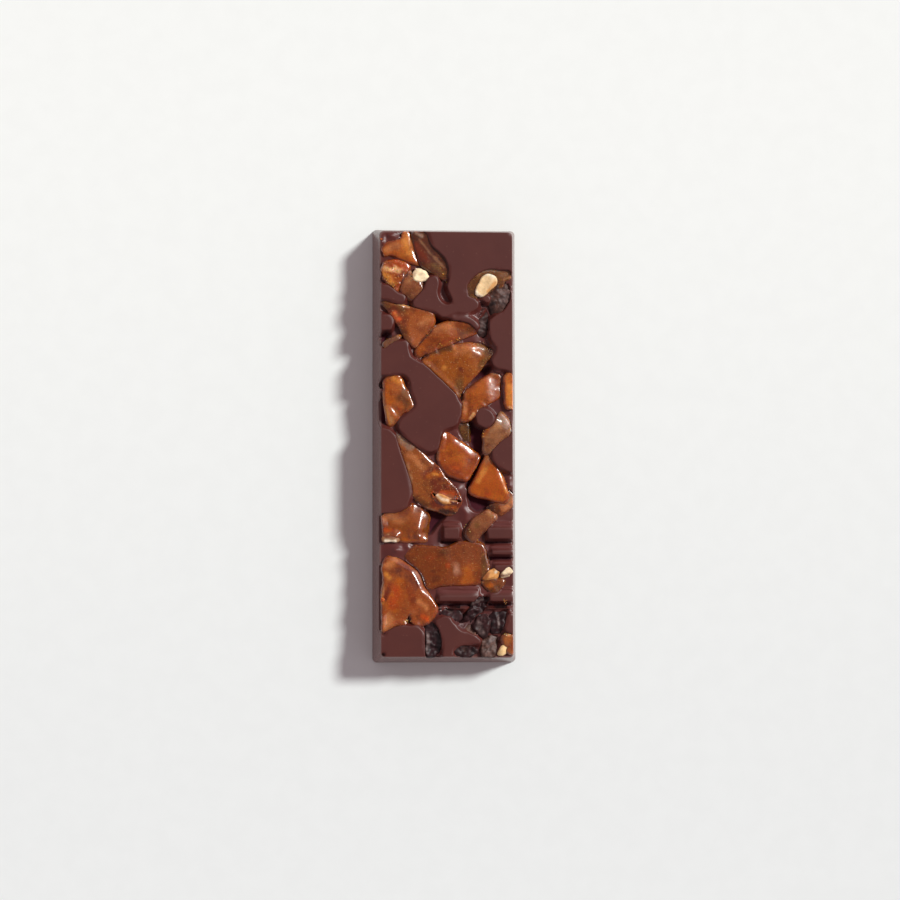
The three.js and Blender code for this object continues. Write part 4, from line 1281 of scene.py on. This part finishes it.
crumbs = {
    "size": 0.17,  # half the breadth of a middling crumb
    "trails": [  # tone, path, how many, how far they stray
        ("orange", [(-5.4, 29.6), (-2.7, 32.6)], 10, 0.25),
        ("gold", [(-5.9, 28.6), (-4.2, 31.2)], 5, 0.2),
        ("gold", [(-2.6, 26.3), (0.9, 27.5), (4.2, 28.3)], 12, 0.25),
        ("tanAndSheen", [(9.4, 27.0), (11.4, 25.2), (10.4, 22.2)], 14, 0.7),
        ("gold", [(-16.4, 45.2), (-14.2, 42.2)], 16, 0.6),
        ("creamAndGlint", [(-16.2, 47.0), (-12.4, 46.6)], 10, 0.5),
        ("gold", [(-1.8, 47.9), (0.0, 43.4)], 7, 0.2),
        ("creamAndGlint", [(-9.3, 15.6), (-8.7, 11.2)], 6, 0.25),
        ("honey", [(-0.6, -4.4), (-0.2, -6.4)], 3, 0.2),
        ("gold", [(5.0, -0.2), (8.6, -4.0), (6.6, -9.4)], 10, 0.2),
        ("orange", [(-3.2, -6.6), (-0.6, -9.4), (1.9, -13.4)], 14, 0.3),
        ("rust", [(-1.8, -16.4), (1.6, -17.4)], 8, 0.4),
        ("flame", [(-4.2, -12.8), (-3.4, -15.6)], 14, 0.3),
        ("ember", [(2.2, -13.4), (3.2, -16.4)], 14, 0.3),
        ("gold", [(15.0, -7.4), (17.4, -13.6)], 8, 0.25),
        ("creamAndGlint", [(4.4, -21.6), (6.4, -23.9)], 5, 0.3),
        ("gold", [(7.5, -25.9), (8.8, -26.4)], 4, 0.2),
        ("creamAndGlint", [(-16.9, -52.1), (-11.2, -47.9)], 6, 0.2),
        ("orange", [(-5.8, -36.4), (-5.0, -41.4)], 6, 0.25),
        ("tanAndSheen", [(14.0, -41.2), (16.2, -43.0)], 9, 0.3),
        ("pinkAndSheen", [(7.0, -50.4), (9.0, -51.8)], 6, 0.3),
        ("creamAndGlint", [(15.4, -51.2), (18.0, -51.6)], 5, 0.25),
        ("creamAndGlint", [(-11.6, -46.4), (-9.4, -48.0)], 7, 0.3),
        ("gold", [(10.4, 4.6), (9.6, 1.2)], 6, 0.2),
        ("rust", [(11.0, 42.4), (9.2, 39.4)], 4, 0.2),
    ],
    "single": [  # larger ones: place, tone, breadth
        ((-12.7, 29.1), "gold", 0.35), ((-17.7, 55.3), "orange", 0.35), ((18.1, 32.6), "ember", 0.55),
        ((2.6, 38.0), "orange", 0.35), ((3.6, 38.2), "rust", 0.3), ((-17.3, -42.0), "orange", 0.55),
    ],
}


def chipShape():
    # the corners and the outward triangles of a lump with twenty faces
    golden, longestEdge = (1 + math.sqrt(5)) / 2, 1.1
    seeds = [np.roll([0, i, j * golden], turn) for turn in range(3) for i, j in product((-1, 1), repeat=2)]
    corners = np.array(seeds) / math.hypot(1, golden)
    triangles = []
    for t in combinations(range(len(corners)), 3):
        if all(np.linalg.norm(corners[a] - corners[b]) < longestEdge for a, b in combinations(t, 2)):
            first, second, third = corners[list(t)]
            outwards = np.cross(second - first, third - first) @ first > 0
            triangles.append(t if outwards else t[::-1])
    return corners, triangles


def crumbMesh(name, look):
    below = ("chocolateBar", "toffeeShard")
    ground = treeOfMeshes(thing.data for thing in bpy.data.objects if thing.name.startswith(below))
    random = np.random.default_rng(11)
    places = []
    for tone, path, amount, stray in look["trails"]:
        path = np.array(path, float)
        along = np.concatenate([[0], np.cumsum(np.hypot(*np.diff(path, axis=0).T))])
        for spot in random.uniform(0, along[-1], amount):
            x, y = (np.interp(spot, along, path[:, i]) + stray * random.normal() for i in range(2))
            places.append((x, y, tone, look["size"] * random.uniform(0.5, 1.5)))
    places += [(*spot, tone, breadth) for spot, tone, breadth in look["single"]]
    corners, triangles = chipShape()
    points, faces, tint = [], [], []
    for x, y, tone, breadth in places:
        hit = ground.ray_cast(Vector((x, y, 2 * barHeight)) * mm, Vector((0, 0, -1)))[0]
        if hit is None:
            continue
        chip = corners * random.uniform(0.6, 1.3, 3) * breadth * random.uniform(0.8, 1.2, (len(corners), 1))
        centre = np.array([x, y, min(hit.z / mm + 0.1 * breadth, barHeight - 0.9 * breadth)])
        shift = len(points)
        points += list(insideWalls(chip + centre))
        faces += [tuple(int(i) + shift for i in t) for t in triangles]
        tint += [warmed(tints[tone], 2)] * len(corners)
    piece = newPiece(name, points, faces)
    piece.data.shade_flat()
    paintColour(piece, "tint", np.array(tint))
    return piece


chips = crumbMesh("toffeeCrumbs", crumbs)
chips.data.materials.append(toffeeMaterial("toffee crumb", toffee, 0.0))
belongs(chips, "toffee_amber")
print("crumbs made,", len(chips.data.polygons), "faces")


# almond pieces

almond = {
    **toffee, "voxel": 0.13, "smoothing": 1, "growth": 0.28, "melt": 0.3, "soften": 0.1, "wave": 0.12,
    "facet": 0.42, "roughEdge": 0.2, "crumble": 0.03, "sharp": 0.35, "stainStrength": 1.0, "rimShade": 0.1,
    "warmth": 0,
}
tints.update({
    "kernel": "#fdf0d2", "skin": "#9c5a24", "toasted": "#d9a05c", "paleSkin": "#a98468", "rind": "#7a3a1c",
})
almonds = {
    "almond_1": {"tone": "#ffe9bd", "facet": 0.2, "wave": 0.03},
    "almond_2": {
        "tone": "#eecd98", "growth": 0.45, "sharp": 0.0, "facet": 0.2, "roughEdge": 0.06,
        "stains": [
            ("kernel", [(7.3, 42.4), (8.2, 40.2), (9.4, 39.8)], 0.7),
            ("kernel", [(10.4, 46.2), (12.4, 45.6)], 0.9), ("toasted", [(13.2, 43.6), (11.2, 41.2)], 0.6),
        ],
    },
    "almond_3": {
        "tone": "#d59450", "growth": 0.4, "sharp": 0.7,
        "stains": [
            ("kernel", [(-2.6, -13.9), (-1.4, -15.0), (0.2, -15.4)], 0.45),
            ("rind", [(1.2, -14.4), (2.6, -15.2)], 0.7), ("rind", [(-3.2, -13.2)], 0.5),
        ],
    },
    "almond_4": {
        "tone": "#9c6c44",
        "stains": [
            ("rind", [(-16.8, -24.9), (-14.0, -25.2)], 0.4),
            ("kernel", [(-16.6, -26.2), (-13.9, -26.3)], 0.35),
        ],
    },
    "almond_5": {
        "tone": "#dd9c55",
        "stains": [("skin", [(9.7, -36.9), (10.8, -35.2)], 0.7), ("kernel", [(13.2, -34.6)], 0.4)],
    },
    "almond_6": {"tone": "#fbe6bd", "stains": [("paleSkin", [(14.7, -35.6), (17.0, -35.2)], 0.45)]},
    "almond_7": {"tone": "#f8d598", "stains": [("skin", [(16.6, -54.4), (16.2, -56.6)], 0.4)]},
}


almondFinish = mattMaterial("chopped almond", {
    "fleckSize": 0.7, "fleckRange": (0.35, 0.65, 0.86, 1.06), "bumpSize": 0.3, "bumpDepth": 0.03,
    "shader": {
        "Roughness": 0.6, "Subsurface Weight": 0.12, "Subsurface Radius": (1.0, 0.6, 0.35),
        "Subsurface Scale": 0.6 * mm,
    },
})
makePieces(almonds, almond, "almondPiece", firstSeed=400, finish=lambda *piece: almondFinish)


# dark dried fruit

fruit = {
    **toffee, "voxel": 0.16, "growth": 0.5, "melt": 0.5, "soften": 0.14, "wave": 0.3, "facet": 0.3,
    "roughEdge": 0.6, "crumble": 0.12, "wrinkles": 0.3, "sharp": 0.5, "rimShade": 0.2, "warmth": 0,
}
# the ash tone is partly grey tone and partly painted sheen on the fruit
tints.update({"coal": "#160e10", "greyAndSheen": "#665450", "bark": "#46302a"})
fruits = {
    "fruit_01": {
        "tone": "#50332a", "wrinkles": 0.12,
        "stains": [
            ("greyAndSheen", [(16.5, 41.4), (15.4, 38.2)], 1.1), ("coal", [(12.4, 38.0), (12.0, 36.4)], 1.0),
            ("bark", [(14.0, 42.4)], 1.2),
        ],
    },
    "fruit_02": {"tone": "#3d2521", "stains": [("greyAndSheen", [(9.6, 33.0), (9.0, 30.4)], 0.6)]},
    "fruit_03": {
        "tone": "#2a1215",
        "stains": [
            ("greyAndSheen", [(-5.4, -51.4), (-5.0, -53.4), (-5.6, -56.0)], 0.6),
            ("coal", [(-2.4, -51.4), (-2.2, -55.6)], 0.7),
        ],
    },
    "fruit_04": {"tone": "#341719", "stains": [("greyAndSheen", [(0.2, -44.6), (1.2, -45.4)], 0.4)]},
    "fruit_05": {
        "tone": "#2b1012",
        "stains": [("greyAndSheen", [(6.4, -43.2), (9.4, -42.0)], 0.35), ("greyAndSheen", [(4.6, -46.0)], 0.4)],
    },
    "fruit_06": {"tone": "#331717", "stains": [("greyAndSheen", [(8.4, -48.0), (9.4, -51.0)], 0.7)]},
    "fruit_07": {
        "tone": "#290f12",
        "stains": [("greyAndSheen", [(13.9, -46.4), (13.9, -49.4)], 0.35), ("coal", [(12.2, -48.4)], 0.6)],
    },
    "fruit_08": {
        "tone": "#583d34",
        "stains": [("greyAndSheen", [(11.4, -53.4), (12.6, -52.4)], 1.0), ("bark", [(9.8, -56.4)], 1.0)],
    },
    "fruit_09": {
        "tone": "#2f1415",
        "stains": [("bark", [(4.6, -55.4)], 0.8), ("coal", [(7.2, -55.4), (6.6, -57.0)], 0.6)],
    },
    "fruit_10": {"tone": "#6b4a3e", "stains": [("pinkAndSheen", [(8.2, -51.4)], 0.6)]},
}


fruitFinish = mattMaterial("dried fruit", {
    "fleckSize": 0.9, "fleckRange": (0.35, 0.7, 0.6, 1.35), "bumpSize": 0.6, "bumpDepth": 0.04,
    "shader": {"Roughness": 0.52, "Specular IOR Level": 0.3},
})
makePieces(fruits, fruit, "driedFruit", firstSeed=600, finish=lambda *piece: fruitFinish)
